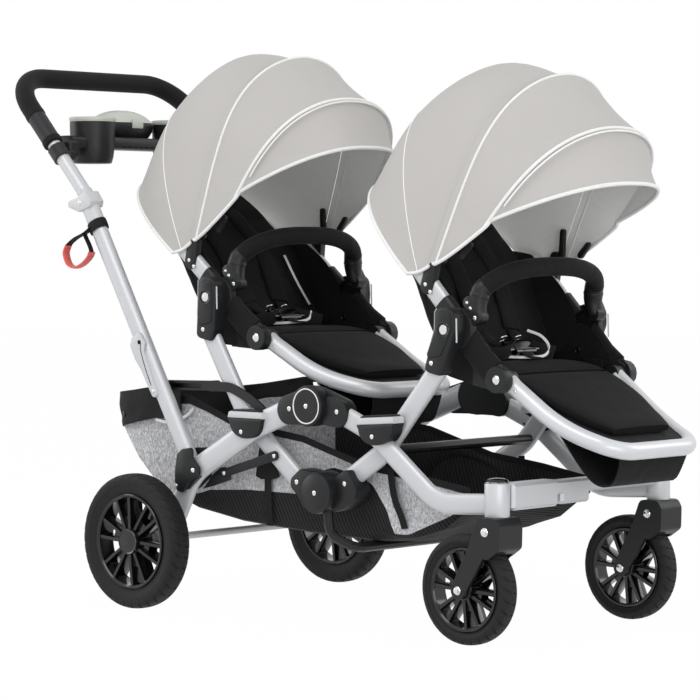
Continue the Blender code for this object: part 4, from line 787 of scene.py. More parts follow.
for label, ((hx, hz), _) in SEATS.items():
    top = ARM_TOPS[label]
    outline = rounded([(hx - 0.0235, hz), (hx - 0.022, hz + 0.0385), (hx + 0.022, hz + 0.0365),
                       (hx + 0.0245, hz), (top[0] + 0.0245, top[1] + 0.008),
                       (top[0] + 0.0165, top[1] - 0.0145),
                       (top[0] - 0.0245, top[1] - 0.0065)], [0.016, 0.019, 0.03, 0.011, 0.011, 0.011])
    inset = rounded([(hx - 0.0185, hz), (hx - 0.017, hz + 0.0305), (hx + 0.015, hz + 0.0305),
                     (hx + 0.0175, hz), (top[0] + 0.0185, top[1] + 0.022),
                     (top[0] - 0.0185, top[1] + 0.014)],
                    0.007)
    body = f"{label}_arms"
    plate = Shape().plate(outline, 0.1868, 0.2158, 0.005)
    pair(f"{label}_mount_body", plate, PLASTIC, body, f"{label}_mount")
    pair(f"{label}_mount_panel", Shape().plate(inset, 0.21, 0.2182, 0.0022), PLASTIC, body)
    bezel = Shape().lathe([(0.0112, 0.0), (0.0114, 0.0018), (0.0128, 0.0022), (0.0138, 0.0012),
                           (0.014, -0.001)],
                          (hx, 0.2172, hz), steps=40)
    pair(f"{label}_mount_bezel", bezel, GLOSS, body)
    marks = Shape().section([(hx + 0.0262, 0.2136, hz + 0.02), (hx + 0.0272, 0.2136, hz - 0.022)],
                            oval_section(0.003, 0.0022, 10), ACROSS)
    pair(f"{label}_mount_marks", marks, LIGHT_GREY, body)
    edge_line = Shape().tube([(x, 0.2128, z) for x, z in (
        (hx - 0.019, hz + 0.036), (hx - 0.0232, hz + 0.03), (hx - 0.024, hz),
        (hx - 0.024 + (top[0] - hx) * 0.5, (hz + top[1]) / 2))], 0.0009, 8)
    pair(f"{label}_mount_edge", edge_line, LIGHT_GREY, body)
    pair(f"{label}_mount_screw", rivets((top[0] - 0.0045, top[1] + 0.0085, 0.2158, 0.0042)), CHROME, body)


hub_cover = Shape().lathe(
    [(0, 0), (0.0374, 0), (0.0377, 0.002), (0.0377, 0.043), (0.0368, 0.0466), (0.035, 0.0482),
     (0.0338, 0.0476), (0.033, 0.0482), (0.006, 0.0486), (0, 0.0486)],
    (LOWER_HUB[0], 0.1951, LOWER_HUB[1]), steps=64,
).mirrored()
piece("lower_hub_covers", hub_cover, PLASTIC, "rear_arms")
piece("lower_hub_bolts", rivets((*LOWER_HUB, 0.2437, 0.0045)).mirrored(), CHROME, "rear_arms")

strut = Shape().plate(stadium((-0.122, 0.2597), (0.0076, 0.2983), 0.0078, 0.0088, 14), 0.2098, 0.2134,
                      0.001)
strut_plate = Shape().plate(
    rounded([(-0.18, 0.227), (-0.15, 0.2345), (-0.104, 0.2485), (-0.106, 0.26), (-0.117, 0.271),
             (-0.132, 0.27), (-0.152, 0.257)], 0.005), 0.21, 0.2108, 0.0004)
piece("strut_links", strut.mirrored(), PLASTIC, "rear_arms")
piece("strut_plates", strut_plate.mirrored(), PLASTIC, "rear_frame")
strut_rivets = rivets((0.0076, 0.2983, 0.2134, 0.0042), (-0.122, 0.2597, 0.2134, 0.0042))
piece("strut_rivets", strut_rivets.mirrored(), CHROME, "rear_arms")


# Wheels

GROOVE_SHARE, GROOVE_DEPTH = 0.15, 0.0029
CENTRE_GROOVE_SHARE, CENTRE_GROOVE_DEPTH = 0.14, 0.0016
SPOKES = 6
FORK_ANGLE = math.radians(11.5)
RIB_WIDTH = 0.0078


def tyre(radius, bore, width, lugs):
    """A tyre about y with a stepped side wall and curved grooves cut across its shoulders."""
    half = width / 2
    profile = [(bore - 0.0015, 0.6), (bore + 0.0005, 0.72), (bore + 0.004, 0.755),
               (bore + 0.3 * (radius - bore), 0.86), (bore + 0.42 * (radius - bore), 0.93),
               (bore + 0.46 * (radius - bore), 0.935), (bore + 0.48 * (radius - bore), 0.97),
               (radius - 0.0125, 1.0), (radius - 0.008, 0.985), (radius - 0.0045, 0.9),
               (radius - 0.0022, 0.76), (radius - 0.001, 0.58), (radius - 0.0003, 0.36), (radius, 0.12)]
    profile = [(r, s * half) for r, s in profile]
    profile += [(r, -y) for r, y in reversed(profile)]
    steps = lugs * 8
    rows = []
    for k in range(steps):
        row = []
        for r, y in profile:
            share = abs(y) / half
            turn = k / steps * lugs + 0.55 * share ** 2 * (1 if y > 0 else -1)
            in_groove = (turn % 1.0) < GROOVE_SHARE
            shoulder = clamp((r - radius + 0.015) / 0.006)
            middle = clamp((share - 0.2) / 0.15)
            depth = GROOVE_DEPTH * shoulder * middle if in_groove else 0.0
            if share < 0.3 and (turn * 2 % 1.0) < CENTRE_GROOVE_SHARE:
                depth = CENTRE_GROOVE_DEPTH
            t = 2 * math.pi * k / steps
            row.append(vec((r - depth) * math.cos(t), y * (1 - 0.03 * (depth > 0)),
                           (r - depth) * math.sin(t)))
        rows.append(row)
    return Shape().grid(rows, around=True, along=True)


def rib(shape, stations, width, turn):
    """A spoke rib: (radius, aside, half depth) stations in the wheel's plane, turned about the axle."""
    rows = []
    c, s = math.cos(turn), math.sin(turn)
    outline = [(-0.5, -0.86), (-0.36, -1), (0.36, -1), (0.5, -0.86)]
    outline += [(wide, -deep) for wide, deep in reversed(outline)]
    for i, (r, aside, half_deep) in enumerate(stations):
        a, b = stations[max(i - 1, 0)], stations[min(i + 1, len(stations) - 1)]
        size = math.hypot(b[0] - a[0], b[1] - a[1])
        nr, na = -(b[1] - a[1]) / size, (b[0] - a[0]) / size
        row = []
        for wide, deep in outline:
            pr, pa = r + nr * width * wide, aside + na * width * wide
            row.append(vec(pr * c - pa * s, half_deep * deep, pr * s + pa * c))
        rows.append(row)
    return shape.grid(rows, around=True)


def rim(bore, width, hub_radius):
    """A glossy rim about y: barrel, hub and six spokes that each fork in two towards the barrel."""
    half = width * 0.4
    outer = bore - 0.0008
    shape = Shape().lathe(
        [(outer, -half + 0.001), (outer, half - 0.001), (outer - 0.001, half), (outer - 0.0055, half),
         (outer - 0.0066, half - 0.0012), (outer - 0.007, 0), (outer - 0.0066, -half + 0.0012),
         (outer - 0.0055, -half), (outer - 0.001, -half), (outer, -half + 0.001)], (0, 0, 0), steps=96)
    hub_half = width * 0.46
    shape.lathe([(0, hub_half), (hub_radius * 0.45, hub_half), (hub_radius * 0.6, hub_half + 0.0012),
                 (hub_radius * 0.9, hub_half + 0.0012), (hub_radius, hub_half), (hub_radius, -hub_half),
                 (hub_radius * 0.9, -hub_half - 0.0012), (0, -hub_half)], (0, 0, 0), steps=48)
    reach = outer - 0.004
    spread = outer * math.sin(FORK_ANGLE)
    fork_at = hub_radius + (reach - hub_radius) * 0.22
    for k in range(SPOKES):
        turn = math.radians(45) + 2 * math.pi * k / SPOKES
        for side in (-1, 1):
            stations = []
            for i in range(15):
                t = i / 14
                r = hub_radius * 0.7 + (reach - hub_radius * 0.7) * t
                lead = clamp((r - fork_at * 0.75) / (reach - fork_at * 0.75))
                aside = side * (hub_radius * 0.27 + (spread - hub_radius * 0.27) * lead ** 0.85)
                stations.append((r, aside, hub_half * 0.86 + (half * 0.88 - hub_half * 0.86) * t))
            rib(shape, stations, RIB_WIDTH, turn)
        web = []
        for i in range(9):
            r = hub_radius * 0.7 + (fork_at * 1.28 - hub_radius * 0.7) * i / 8
            web.append((r, 0.0, hub_half * 0.55))
        rib(shape, web, hub_radius * 0.62, turn)
    return shape


for label, (x, z), radius, bore, width, half_track, lugs in (
    ("rear", REAR_AXLE, 0.127, 0.0897, 0.045, 0.2785, 36),
    ("front", FRONT_AXLE, 0.0957, 0.0733, 0.038, 0.228, 30),
):
    for tag, side in (("L", 1), ("R", -1)):
        at = Matrix.Translation((x, side * half_track, z))
        turned = tyre(radius, bore, width, lugs).placed(at)
        piece(f"{label}_tyre_tread_{tag}", turned, RUBBER, f"{label}_wheel_{tag}",
              stands_for=[f"{label}_tyre_{tag}"], sharp=32)
        spokes = rim(bore, width, 0.024 if label == "rear" else 0.0175).placed(at)
        piece(f"{label}_rim_spokes_{tag}", spokes, GLOSS, f"{label}_wheel_{tag}",
              stands_for=[f"{label}_rim_{tag}"])
        lip = Shape()
        for face in (1, -1):
            lip.lathe([(bore - 0.0065, 0.0), (bore - 0.005, 0.0016), (bore - 0.002, 0.002),
                       (bore - 0.0006, 0.0008), (bore - 0.0006, -0.003), (bore - 0.0065, -0.003)],
                      (x, side * half_track + face * width * 0.4, z), (0, face, 0), 72)
        if label == "rear":
            lip.lathe([(0.0245, -0.004), (0.0245, 0.0006), (0.0235, 0.0018), (0.0215, 0.0012),
                       (0.0205, 0.0004), (0.006, 0.0014), (0, 0.0015)],
                      (x, side * 0.3005, z), (0, side, 0), 48)
        piece(f"{label}_rim_lip_{tag}", lip, GLOSS, f"{label}_wheel_{tag}")

for tag, side in (("L", 1), ("R", -1)):
    bolts = Shape()
    for face in (1, -1):
        out = side * CASTER[1] + face * 0.0312
        for (x, z), grow in (((0.546, 0.199), 0.0), (FRONT_AXLE, 0.0002)):
            tall = grow * 4
            bolts.lathe([(0.0078 - grow * 2, -0.001), (0.0078 - grow * 2, 0.0008 + grow),
                         (0.007 - grow * 2, 0.0016 + grow), (0.0052 - grow, 0.0016 + grow),
                         (0.0052 - grow, 0.004 + tall), (0.0044 - grow, 0.0046 + tall), (0, 0.0046 + tall)],
                        (x, out, z), (0, face, 0), 18)
    piece(f"fork_bolts_{tag}", bolts, CHROME, f"caster_{tag}")


# Crossbar details

sleeve = Shape()
for x in (-0.017, 0.017):
    sleeve.tube([(CASTER[0] + x, -0.2, 0.2368), (CASTER[0] + x, -0.09, 0.2368)], 0.0011, 8)
piece("crossbar_sleeve_ribs", sleeve, SILVER, "front_frame")


# Handle

handle_way = (COLLAR - Vector((HANDLE_PIVOT[0], 0, HANDLE_PIVOT[1]))).normalized()
handle_back = vec(-handle_way.z, 0, handle_way.x)


def on_handle(along, rearward, y=LEG_Y):
    return COLLAR + handle_way * along + handle_back * rearward + vec(0, y, 0)


foot = Vector((HANDLE_PIVOT[0], LEG_Y, HANDLE_PIVOT[1]))
lower_tube = Shape().section([foot + handle_way * 0.004, on_handle(-0.02, 0)],
                             oval_section(0.027, 0.0345, 32, 2.2), ACROSS)
collar_line = rounded([(p.x, p.z) for p in (on_handle(a, b) for a, b in (
    (0.008, 0.0), (0.008, -0.019), (-0.018, -0.0225), (-0.027, -0.0145), (-0.018, 0.02), (0.004, 0.04),
    (0.015, 0.034), (0.009, 0.015)))], 0.004, 5)
collar = Shape().plate(collar_line, LEG_Y, 0.2415, 0.003).plate(collar_line, LEG_Y, 0.2055, 0.003)

collar.section([on_handle(0.004, 0), on_handle(0.017, 0)], oval_section(0.03, 0.03, 32, 2.1), ACROSS)
collar.section([on_handle(-0.052, 0), on_handle(-0.014, 0)], oval_section(0.0295, 0.0365, 32, 2.2), ACROSS)
lever_line = rounded([(p.x, p.z) for p in (on_handle(a, b) for a, b in (
    (-0.3, 0.01), (-0.3, -0.013), (-0.326, -0.0165), (-0.34, -0.006), (-0.4, 0.001), (-0.4285, 0.0),
    (-0.4285, 0.0165), (-0.404, 0.0175), (-0.366, 0.019), (-0.34, 0.0235), (-0.312, 0.0225)))], 0.008)
lever = Shape().plate(lever_line, 0.2335, 0.2402, 0.0016)

lever_lines = Shape().tube(smooth_path([on_handle(a, b, 0.2402) for a, b in (
    (-0.318, -0.0085), (-0.336, 0.0005), (-0.372, 0.006), (-0.404, 0.008))], 24), 0.0008, 8)
lever_lines.lathe([(0.0042, -0.001), (0.0042, 0.0004), (0.003, 0.0009), (0.0026, 0.0002), (0, 0.0002)],
                  on_handle(-0.318, -0.004, 0.2402), steps=20)
piece("lever_lines", lever_lines.mirrored(), FOAM, "handle_lower")
pair("handle_lower_tube", lower_tube, SILVER, "handle_lower", "handle_tube")
pair("handle_collar", collar, LIGHT_GREY, "handle_lower")
pair("handle_release_lever", lever, LIGHT_GREY, "handle_lower")
pins = Shape()
for a, b, y, radius in ((-0.006, 0.006, 0.2415, 0.004), (-0.417, 0.0085, 0.2402, 0.0036)):
    pins.rivet(on_handle(a, b).x, on_handle(a, b).z, y, radius)
piece("handle_rivets", pins.mirrored(), CHROME, "handle_lower")

cuff_loop = [on_handle(-0.062, 0.0198 * math.cos(t), LEG_Y + 0.0168 * math.sin(t)) for t in turns(40)]
wrist = Shape().section(cuff_loop, oval_section(0.02, 0.0024, 16), handle_way, closed=True)
wrist.section(smooth_path([(-0.45, 0.23, 0.725), (-0.4571, 0.234, 0.7175), (-0.4724, 0.239, 0.7059),
                           (-0.4987, 0.239, 0.6962), (-0.5182, 0.239, 0.685), (-0.5225, 0.239, 0.6795)],
                          26), oval_section(0.0165, 0.0026, 16), ACROSS)
wrist.section(smooth_path([(-0.456, 0.239, 0.6635), (-0.4565, 0.239, 0.672), (-0.4621, 0.239, 0.6835),
                           (-0.4708, 0.239, 0.6962), (-0.4745, 0.239, 0.7035)], 16),
              oval_section(0.012, 0.0022, 14), ACROSS)
piece("wrist_strap", wrist.other_side(), WEBBING, "handle_lower")
grip_line = smooth_path([(-0.5215, 0.239, 0.6825), (-0.5265, 0.239, 0.674), (-0.5285, 0.239, 0.664),
                         (-0.519, 0.239, 0.6454), (-0.499, 0.239, 0.6393), (-0.4767, 0.239, 0.647),
                         (-0.46, 0.239, 0.66), (-0.455, 0.239, 0.669)], 44)
grip_loop = Shape().section(grip_line, oval_section(0.0178, 0.0052, 20), ACROSS)
piece("wrist_grip", grip_loop.other_side(), CORAL, "handle_lower")


bend = COLLAR + handle_way * 0.013 + vec(0, LEG_Y, 0)
corner = HANDLE_TOP + vec(0, LEG_Y, 0)
bar_line = even(filleted(across([on_handle(-0.11, 0), bend, corner]), [0.05, 0.085, 0.085, 0.05], 16), 260)


BAR_RADIUS, CUFF_RADIUS, GRIP_RADIUS, RING_RADIUS = 0.0136, 0.0184, 0.0191, 0.0197


def bar_index(share):
    """Where the bar's line passes a share of the way from its bend to its top corner."""
    want = bend.lerp(corner, share)
    return min(range(131), key=lambda i: (bar_line[i] - want).length)


cuff_start, cuff_end = bar_index(0.43), bar_index(0.66)
bar = Shape().tube(bar_line[:cuff_start + 3], BAR_RADIUS, 28)
piece("handle_bar_tube", bar.mirrored(), SILVER, "handle_upper", stands_for=["handle_bar"])
grip = Shape().tube(bar_line[cuff_end:261 - cuff_end], GRIP_RADIUS, 28)
piece("foam_grip", grip, FOAM, "handle_upper", stands_for=["handle_grip"])
cuffs = Shape().tube(bar_line[cuff_start:cuff_end + 1], CUFF_RADIUS, 28).mirrored()
piece("grip_cuffs", cuffs, SLEEVE, "handle_upper")
cuff_rings = Shape()
for at in (cuff_start, cuff_end):
    cuff_rings.tube(bar_line[at - 1:at + 2], RING_RADIUS, 28)
piece("cuff_rings", cuff_rings.mirrored(), FOAM, "handle_upper")

channel = Shape().plate([(-0.284, 0.4118), (-0.18, 0.4134), (-0.18, 0.4256), (-0.284, 0.424)],
                        0.1974, 0.195, 0.0006)
piece("brace_channel_fill", channel.mirrored(), DARK_TUBE, "braces")


# Parent tray

TRAY = (-0.592, 0.884)
CUP_Z = 0.889
tray_rings = Shape()
cups = Shape()
for y in (0.112, -0.112):
    tray_rings.lathe([(0.0426, 0.036), (0.0426, 0.0462), (0.044, 0.047), (0.0462, 0.0462), (0.0466, 0.044),
                      (0.0462, 0.0395), (0.045, 0.038), (0.0446, 0.036)], (TRAY[0], y, CUP_Z), UPRIGHT, 48)
    cups.lathe([(0.0422, 0.042), (0.0449, 0.042), (0.0452, 0.03), (0.044, -0.01), (0.0415, -0.032),
                (0.0385, -0.0425), (0.035, -0.0448), (0.0, -0.0448)], (TRAY[0], y, CUP_Z), UPRIGHT, 48)
piece("cup_rings", tray_rings, GREY, "handle_upper")
piece("cup_shells", cups, PLASTIC, "handle_upper")
slots = Shape()
for k in range(-3, 4):
    slots.section([(TRAY[0] - 0.0262 * s, k * 0.0155 - 0.005, TRAY[1] - 0.006) for s in (-1, -1.03)],
                  oval_section(0.011, 0.004, 12), ACROSS)
piece("tray_grille", slots, FOAM, "handle_upper")
latch = Shape().section([(-0.5815, y, 0.9265) for y in (-0.014, 0.014)],
                        oval_section(0.0052, 0.019, 20, 3.0), (1, 0, 0))
piece("tray_latch", latch, GREY, "tray_cover")


def egg(profile, x, z, half_x, half_y, steps=64):
    """A turned form stretched to an oval about an upright axis."""
    shape = Shape().lathe(profile, (0, 0, 0), UPRIGHT, steps)
    return shape.placed(Matrix.Translation((x, 0, z)) @ Matrix.Diagonal((half_x, half_y, 1, 1)))


lid = egg([(0, 0.0262), (0.22, 0.0258), (0.45, 0.0232), (0.65, 0.0184), (0.8, 0.013), (0.92, 0.0066),
           (0.985, 0.002), (1.0, 0.0006), (0.99, 0.0002), (0.93, 0.0004), (0.72, 0.0108), (0.4, 0.02),
           (0, 0.0235)], -0.632, 0.9283, 0.05, 0.075)
piece("tray_clam_lid", lid, GREY, "tray_cover", stands_for=["tray_lid"])
dish = egg([(0.93, -0.0005), (0.985, -0.0004), (1.012, -0.002), (1.02, -0.006), (1.0, -0.015),
            (0.93, -0.0235), (0.82, -0.033), (0.6, -0.035), (0, -0.0352)], -0.632, 0.928, 0.05, 0.075)
piece("tray_dish_shell", dish, PLASTIC, "handle_upper")
beam_skin = Shape().section([(-0.592, y, 0.885) for y in (-0.1875, -0.184, 0.184, 0.1875)],
                            oval_section(0.0535, 0.0255, 40, 5.0), (1, 0, 0))
piece("tray_beam_skin", beam_skin, PLASTIC, "handle_upper")


# Seats

CANOPY_WIDTH = 0.182


def edge_faces(rows, columns):
    """Faces that join two grids of points, one after the other, around their edge."""
    far, last = rows - 1, columns - 1
    ring = [(0, j) for j in range(last)] + [(i, last) for i in range(far)]
    ring += [(far, j) for j in range(last, 0, -1)] + [(i, 0) for i in range(far, 0, -1)]
    shift = rows * columns
    return [(i * columns + j, shift + i * columns + j, shift + k * columns + m, k * columns + m)
            for (i, j), (k, m) in zip(ring, ring[1:] + ring[:1])]


def cushion(rows, thickness, crown, sewn=()):
    """A soft panel on rows of points, thin at its edges and full between its sewn lines."""
    last_row, last = len(rows) - 1, len(rows[0]) - 1
    grids = []
    for side in (1, -1):
        grid = []
        for i, row in enumerate(rows):
            along = rows[min(i + 1, last_row)][0] - rows[max(i - 1, 0)][0]
            normal = Vector(ACROSS).cross(along).normalized()
            line = []
            for j, p in enumerate(row):
                u, v = j / last, i / last_row
                edge = clamp(math.sin(math.pi * u)) ** 0.5
                end = min(1.0, math.sin(math.pi * v) ** 0.4) if 0 < i < last_row else 0.0
                pinch = 1.0
                for across_line, at, reach in sewn:
                    gap = abs((v if across_line else u) - at) / reach
                    pinch = min(pinch, 0.25 + 0.75 * min(1.0, gap ** 0.6))
                lift = thickness / 2 * (0.35 + 0.65 * edge) + crown * edge * end * pinch
                wave = 0.0008 * noise.noise(p * 26.0)
                line.append(p + normal * side * (lift + wave))
            grid.append(line)
        grids.append(grid)
    n = last + 1
    top, bottom = grids
    points = [p for row in top for p in row] + [p for row in bottom for p in row]
    faces = []
    shift = len(rows) * n
    for i in range(last_row):
        for j in range(last):
            a = i * n + j
            faces.append((a, a + 1, a + n + 1, a + n))
            faces.append((shift + a + n, shift + a + n + 1, shift + a + 1, shift + a))
    return Shape().add(points, faces + edge_faces(len(rows), n))


def rows_of(stations, columns, rows):
    """Rows across the seat along (x, z, half width) stations, evenly spaced."""
    line = smooth_path([(x, half, z) for x, z, half in stations], rows)
    return [[vec(p.x, p.y * math.sin(math.pi / 2 * (2 * j / columns - 1)), p.z)
             for j in range(columns + 1)] for p in line]


def shell(rows, thick):
    """A cloth skin over rows with its own lining face a little inside it, closed round its edge."""
    count, last = len(rows[0]), len(rows) - 1
    grid = []
    for i, row in enumerate(rows):
        line = []
        for j, p in enumerate(row):
            du = row[min(j + 1, count - 1)] - row[max(j - 1, 0)]
            dv = rows[min(i + 1, last)][j] - rows[max(i - 1, 0)][j]
            normal = du.cross(dv)
            line.append((p, normal.normalized() if normal.length > 1e-12 else Vector(UPRIGHT)))
        grid.append(line)
    middle = grid[last // 2][count // 2]
    centre = sum((p for row in rows for p in row), Vector()) / (count * (last + 1))
    flip = -1 if middle[1].dot(middle[0] - centre) < 0 else 1
    shape = Shape().grid(rows)
    shape.slot = 1
    shape.grid([[p - normal * flip * thick for p, normal in line] for line in grid])
    shape.slot = 0
    faces = edge_faces(len(rows), count)
    shape.faces += faces
    shape.slots += [0] * len(faces)
    return shape


def between(bows, counts, sag):
    """Rows filled in between bows, drawn in a little where cloth is stretched from one to the next."""
    rows = []
    for (a, b), count in zip(zip(bows, bows[1:]), counts):
        for k in range(count):
            t = k / count
            line = []
            for j, (p, q) in enumerate(zip(a, b)):
                point = p.lerp(q, t)
                pull = sag * math.sin(math.pi * t) * math.sin(math.pi * j / (len(a) - 1))
                line.append(point + (CANOPY_MIDDLE - point).normalized() * pull)
            rows.append(line)
    return rows + [bows[-1]]


def smooth_rows(bows, count):
    """Rows on a smooth skin that runs through the bows."""
    columns = [smooth_path(list(points), count) for points in zip(*bows)]
    return [list(row) for row in zip(*columns)]


for label, (hub, tilt) in SEATS.items():
    arms, recline, fold = f"{label}_arms", f"{label}_recline", f"{label}_canopy_fold"
    legrest, bumper = f"{label}_legrest", f"{label}_bumper"
    seat_at = Matrix.Translation((hub[0], 0, hub[1])) @ Matrix.Rotation(-tilt, 4, "Y")

    def seat_piece(name, shape, mats, body, slot=None, **more):
        return piece(f"{label}_{name}", shape.placed(seat_at), mats, body, slot, **more)

    # Canopy: rear shell on the backrest, front shell on its folding hoops
    half = CANOPY_WIDTH
    hem = bow((-0.105, 0.087), (-0.3, 0.262), half - 0.0015, 0.8, 1.0, start=0.05)
    seam = bow((-0.086, 0.0825), (-0.187, 0.4), half - 0.0015, 0.85, 0.85, start=0.05)
    ridge = bow((-0.072, 0.087), (-0.041, 0.468), half - 0.0015, 0.9, 0.75, start=0.05)
    hoop = bow((-0.052, 0.103), (0.1035, 0.4435), half + 0.001, 1.05, 0.42, start=0.03)
    first = [p + vec(-0.016, 0, 0.002) for p in hoop]
    edge = [vec(p.x - 0.0175, p.y * 0.985, p.z - 0.0025) for p in hoop]
    second = bow((0.0442, 0.1548), (0.2121, 0.3475), half + 0.0008, 0.93, 0.6, start=0.1)
    brim = bow((0.0292, 0.1716), (0.2478, 0.251), half + 0.0008, 0.78, 1.06, start=0.2)
    rear_rows = smooth_rows([hem, seam, ridge, edge], 26)
    front_rows = between([first, hoop, second, brim], [2, 14, 8], 0.006)
    for name, rows, body, node in (("canopy_back_cloth", rear_rows, recline, f"{label}_canopy_rear"),
                                   ("canopy_front_cloth", front_rows, fold, f"{label}_canopy_front")):
        cloth = seat_piece(name, shell(rows, CLOTH_THICK), [CANOPY, LINING], body, "canopy_cloth",
                           stands_for=[node], sharp=50)
    for name, line, radius, body in (("hem", hem, 0.0032, recline), ("hoop", hoop, 0.0024, fold),
                                     ("second", second, 0.003, fold), ("brim", brim, 0.0036, fold)):
        shape = Shape().tube(line, radius, 10)
        if name == "second":
            shape.tube([p * 0.995 + vec(0.0065, 0, -0.0035) for p in line[2:-2]], 0.0018, 8)
        seat_piece(f"canopy_piping_{name}", shape, PIPING, body)
    back_edge = Shape().tube([row[0] for row in rear_rows], 0.0032, 10)
    seat_piece("canopy_binding_back", back_edge.mirrored(), PIPING, recline)
    tuck = hoop[0].lerp(second[0], 0.35) + vec(0, 0.002, -0.004)
    front_edge = smooth_path([hoop[0] + vec(-0.006, 0, 0.001), hoop[0], tuck, second[0], brim[0]], 34)
    seat_piece("canopy_binding_front", Shape().tube(front_edge, 0.0034, 10).mirrored(), PIPING, fold)
    stitch = Shape().tube([p + (p - vec(-0.06, 0, 0.2)).normalized() * 0.0004 for p in seam], 0.0009, 6)
    seat_piece("canopy_seam_line", stitch, LINING, recline)

    # Backrest, its stubs and mounts
    back_rows = rows_of([(-0.04, -0.074, 0.138), (-0.069, -0.021, 0.148), (-0.096, 0.035, 0.152),
                         (-0.118, 0.088, 0.153), (-0.156, 0.134, 0.151), (-0.19, 0.177, 0.142),
                         (-0.22, 0.214, 0.124), (-0.243, 0.242, 0.094), (-0.258, 0.26, 0.052)], 28, 36)
    pad = seat_piece("backrest_pad", cushion(back_rows, 0.014, 0.007,
                                             [(True, 0.3, 0.05), (True, 0.62, 0.05)]),
                     CLOTH, recline, stands_for=[f"{label}_backrest"])
    stub = Shape().section([(BACK_WAY[0] * r, 0.1665, BACK_WAY[1] * r) for r in (0.022, 0.165)],
                           oval_section(0.02, 0.0345, 28), ACROSS)
    seat_piece("back_stubs", stub.mirrored(), SILVER, recline)
    shoe = Shape().section([(BACK_WAY[0] * r, 0.1672, BACK_WAY[1] * r) for r in (0.018, 0.058, 0.062)],
                           oval_section(0.024, 0.04, 28, 3.0), ACROSS)
    seat_piece("back_stub_covers", shoe.mirrored(), PLASTIC, recline)
    mount = Shape().plate(stadium((-0.073, 0.074), (-0.06, 0.122), 0.0145, 0.0115, 12), 0.165, 0.1788,
                          0.002)
    seat_piece("canopy_mounts", mount.mirrored(), PLASTIC, recline)
    dots = rivets((-0.0745, 0.077, 0.1788, 0.0038), (-0.0635, 0.064, 0.1788, 0.0038))
    seat_piece("canopy_mount_rivets", dots.mirrored(), CHROME, recline)

    # Seat pad and side cover
    pad_rows = rows_of([(-0.012, -0.069, 0.142), (0.02, -0.073, 0.146), (0.05, -0.078, 0.146),
                        (0.074, -0.083, 0.144)], 24, 10)
    pad = seat_piece("seat_cushion", cushion(pad_rows, 0.015, 0.006), PAD, arms,
                     stands_for=[f"{label}_seat_pad"])
    cover = Shape().section(filleted([(0.02, 0.1715, -0.018), (0.05, 0.1715, -0.052),
                                      (LEGREST_PIVOT[0] - 0.013, 0.1715, LEGREST_PIVOT[1] + 0.012)], 0.05,
                                     6),
                            oval_section(0.025, 0.048, 28, 2.2), ACROSS)
    seat_piece("side_tube_covers", cover.mirrored(), CLOTH, arms)
    disc = Shape().lathe([(0.0365, 0), (0.0365, 0.012), (0.035, 0.014), (0.03, 0.014), (0.029, 0.0132),
                          (0.023, 0.0132), (0.022, 0.014), (0, 0.0142)], (0, 0.1722, 0), steps=56)
    seat_piece("hub_discs", disc.mirrored(), PLASTIC, arms)
    pivot = Shape().lathe([(0.0232, 0), (0.0232, 0.017), (0.022, 0.0192), (0.0175, 0.0196),
                           (0.0168, 0.0186),
                           (0.0105, 0.0186), (0.01, 0.0196), (0.0092, 0.0196), (0.0092, 0.015)],
                          (LEGREST_PIVOT[0], 0.1664, LEGREST_PIVOT[1]), steps=48)
    seat_piece("legrest_pivot_rings", pivot.mirrored(), PLASTIC, arms)

    # Cloth between the backrest and the side tubes, beside the seat and under it
    near_pad = [(-0.05, -0.056), (-0.069, -0.021), (-0.084, 0.01), (-0.098, 0.038), (-0.11, 0.068),
                (-0.121, 0.092), (-0.138, 0.114), (-0.158, 0.136)]
    at_tube = [(-0.02, -0.026), (-0.006, -0.006), (-0.004, 0.016), (-0.0144, 0.0386), (-0.03, 0.06),
               (-0.048, 0.08), (-0.074, 0.102), (-0.108, 0.128)]
    wing_rows = []
    for (ax, az), (bx, bz) in zip(near_pad, at_tube):
        row = []
        for k in range(9):
            t = k / 8
            sag = 0.006 * math.sin(math.pi * t)
            row.append(vec(ax + (bx - ax) * t + sag, 0.1485 + 0.0065 * math.sin(math.pi / 2 * t),
                           az + (bz - az) * t))
        wing_rows.append(row)
    wing_rows = smooth_rows(wing_rows, 20)
    wings = seat_piece("side_wings", shell(wing_rows, 0.0016).mirrored(), CLOTH, recline)
    low = [(-0.062, -0.048), (-0.058, -0.074), (-0.02, -0.088), (0.03, -0.0955), (0.072, -0.0985),
           (0.093, -0.093)]
    high = [(-0.05, -0.03), (-0.036, -0.012), (0.0, 0.004), (0.038, -0.012), (0.07, -0.046),
            (0.094, -0.078)]
    panel_rows = smooth_rows([[vec(a + (c - a) * k / 8, 0.156 - 0.002 * math.sin(math.pi * k / 8),
                                   b + (d - b) * k / 8) for k in range(9)]
                              for (a, b), (c, d) in zip(low, high)], 18)
    panels = seat_piece("side_panels", shell(panel_rows, CLOTH_THICK).mirrored(), CLOTH, arms)
    sling_rows = rows_of([(x, z, 0.156) for x, z in low], 22, 24)
    sling = seat_piece("seat_sling", shell(sling_rows, CLOTH_THICK), CLOTH, arms)
    snaps = Shape()
    for x, z in ((0.0031, -0.0456), (0.0336, -0.07)):
        snaps.lathe([(0.0062, 0), (0.006, 0.0014), (0.0046, 0.002), (0.0036, 0.0012), (0, 0.0012)],
                    (x, 0.1536, z), (0, -1, 0), 24)
    seat_piece("panel_snaps", snaps.mirrored(), GLOSS, arms)

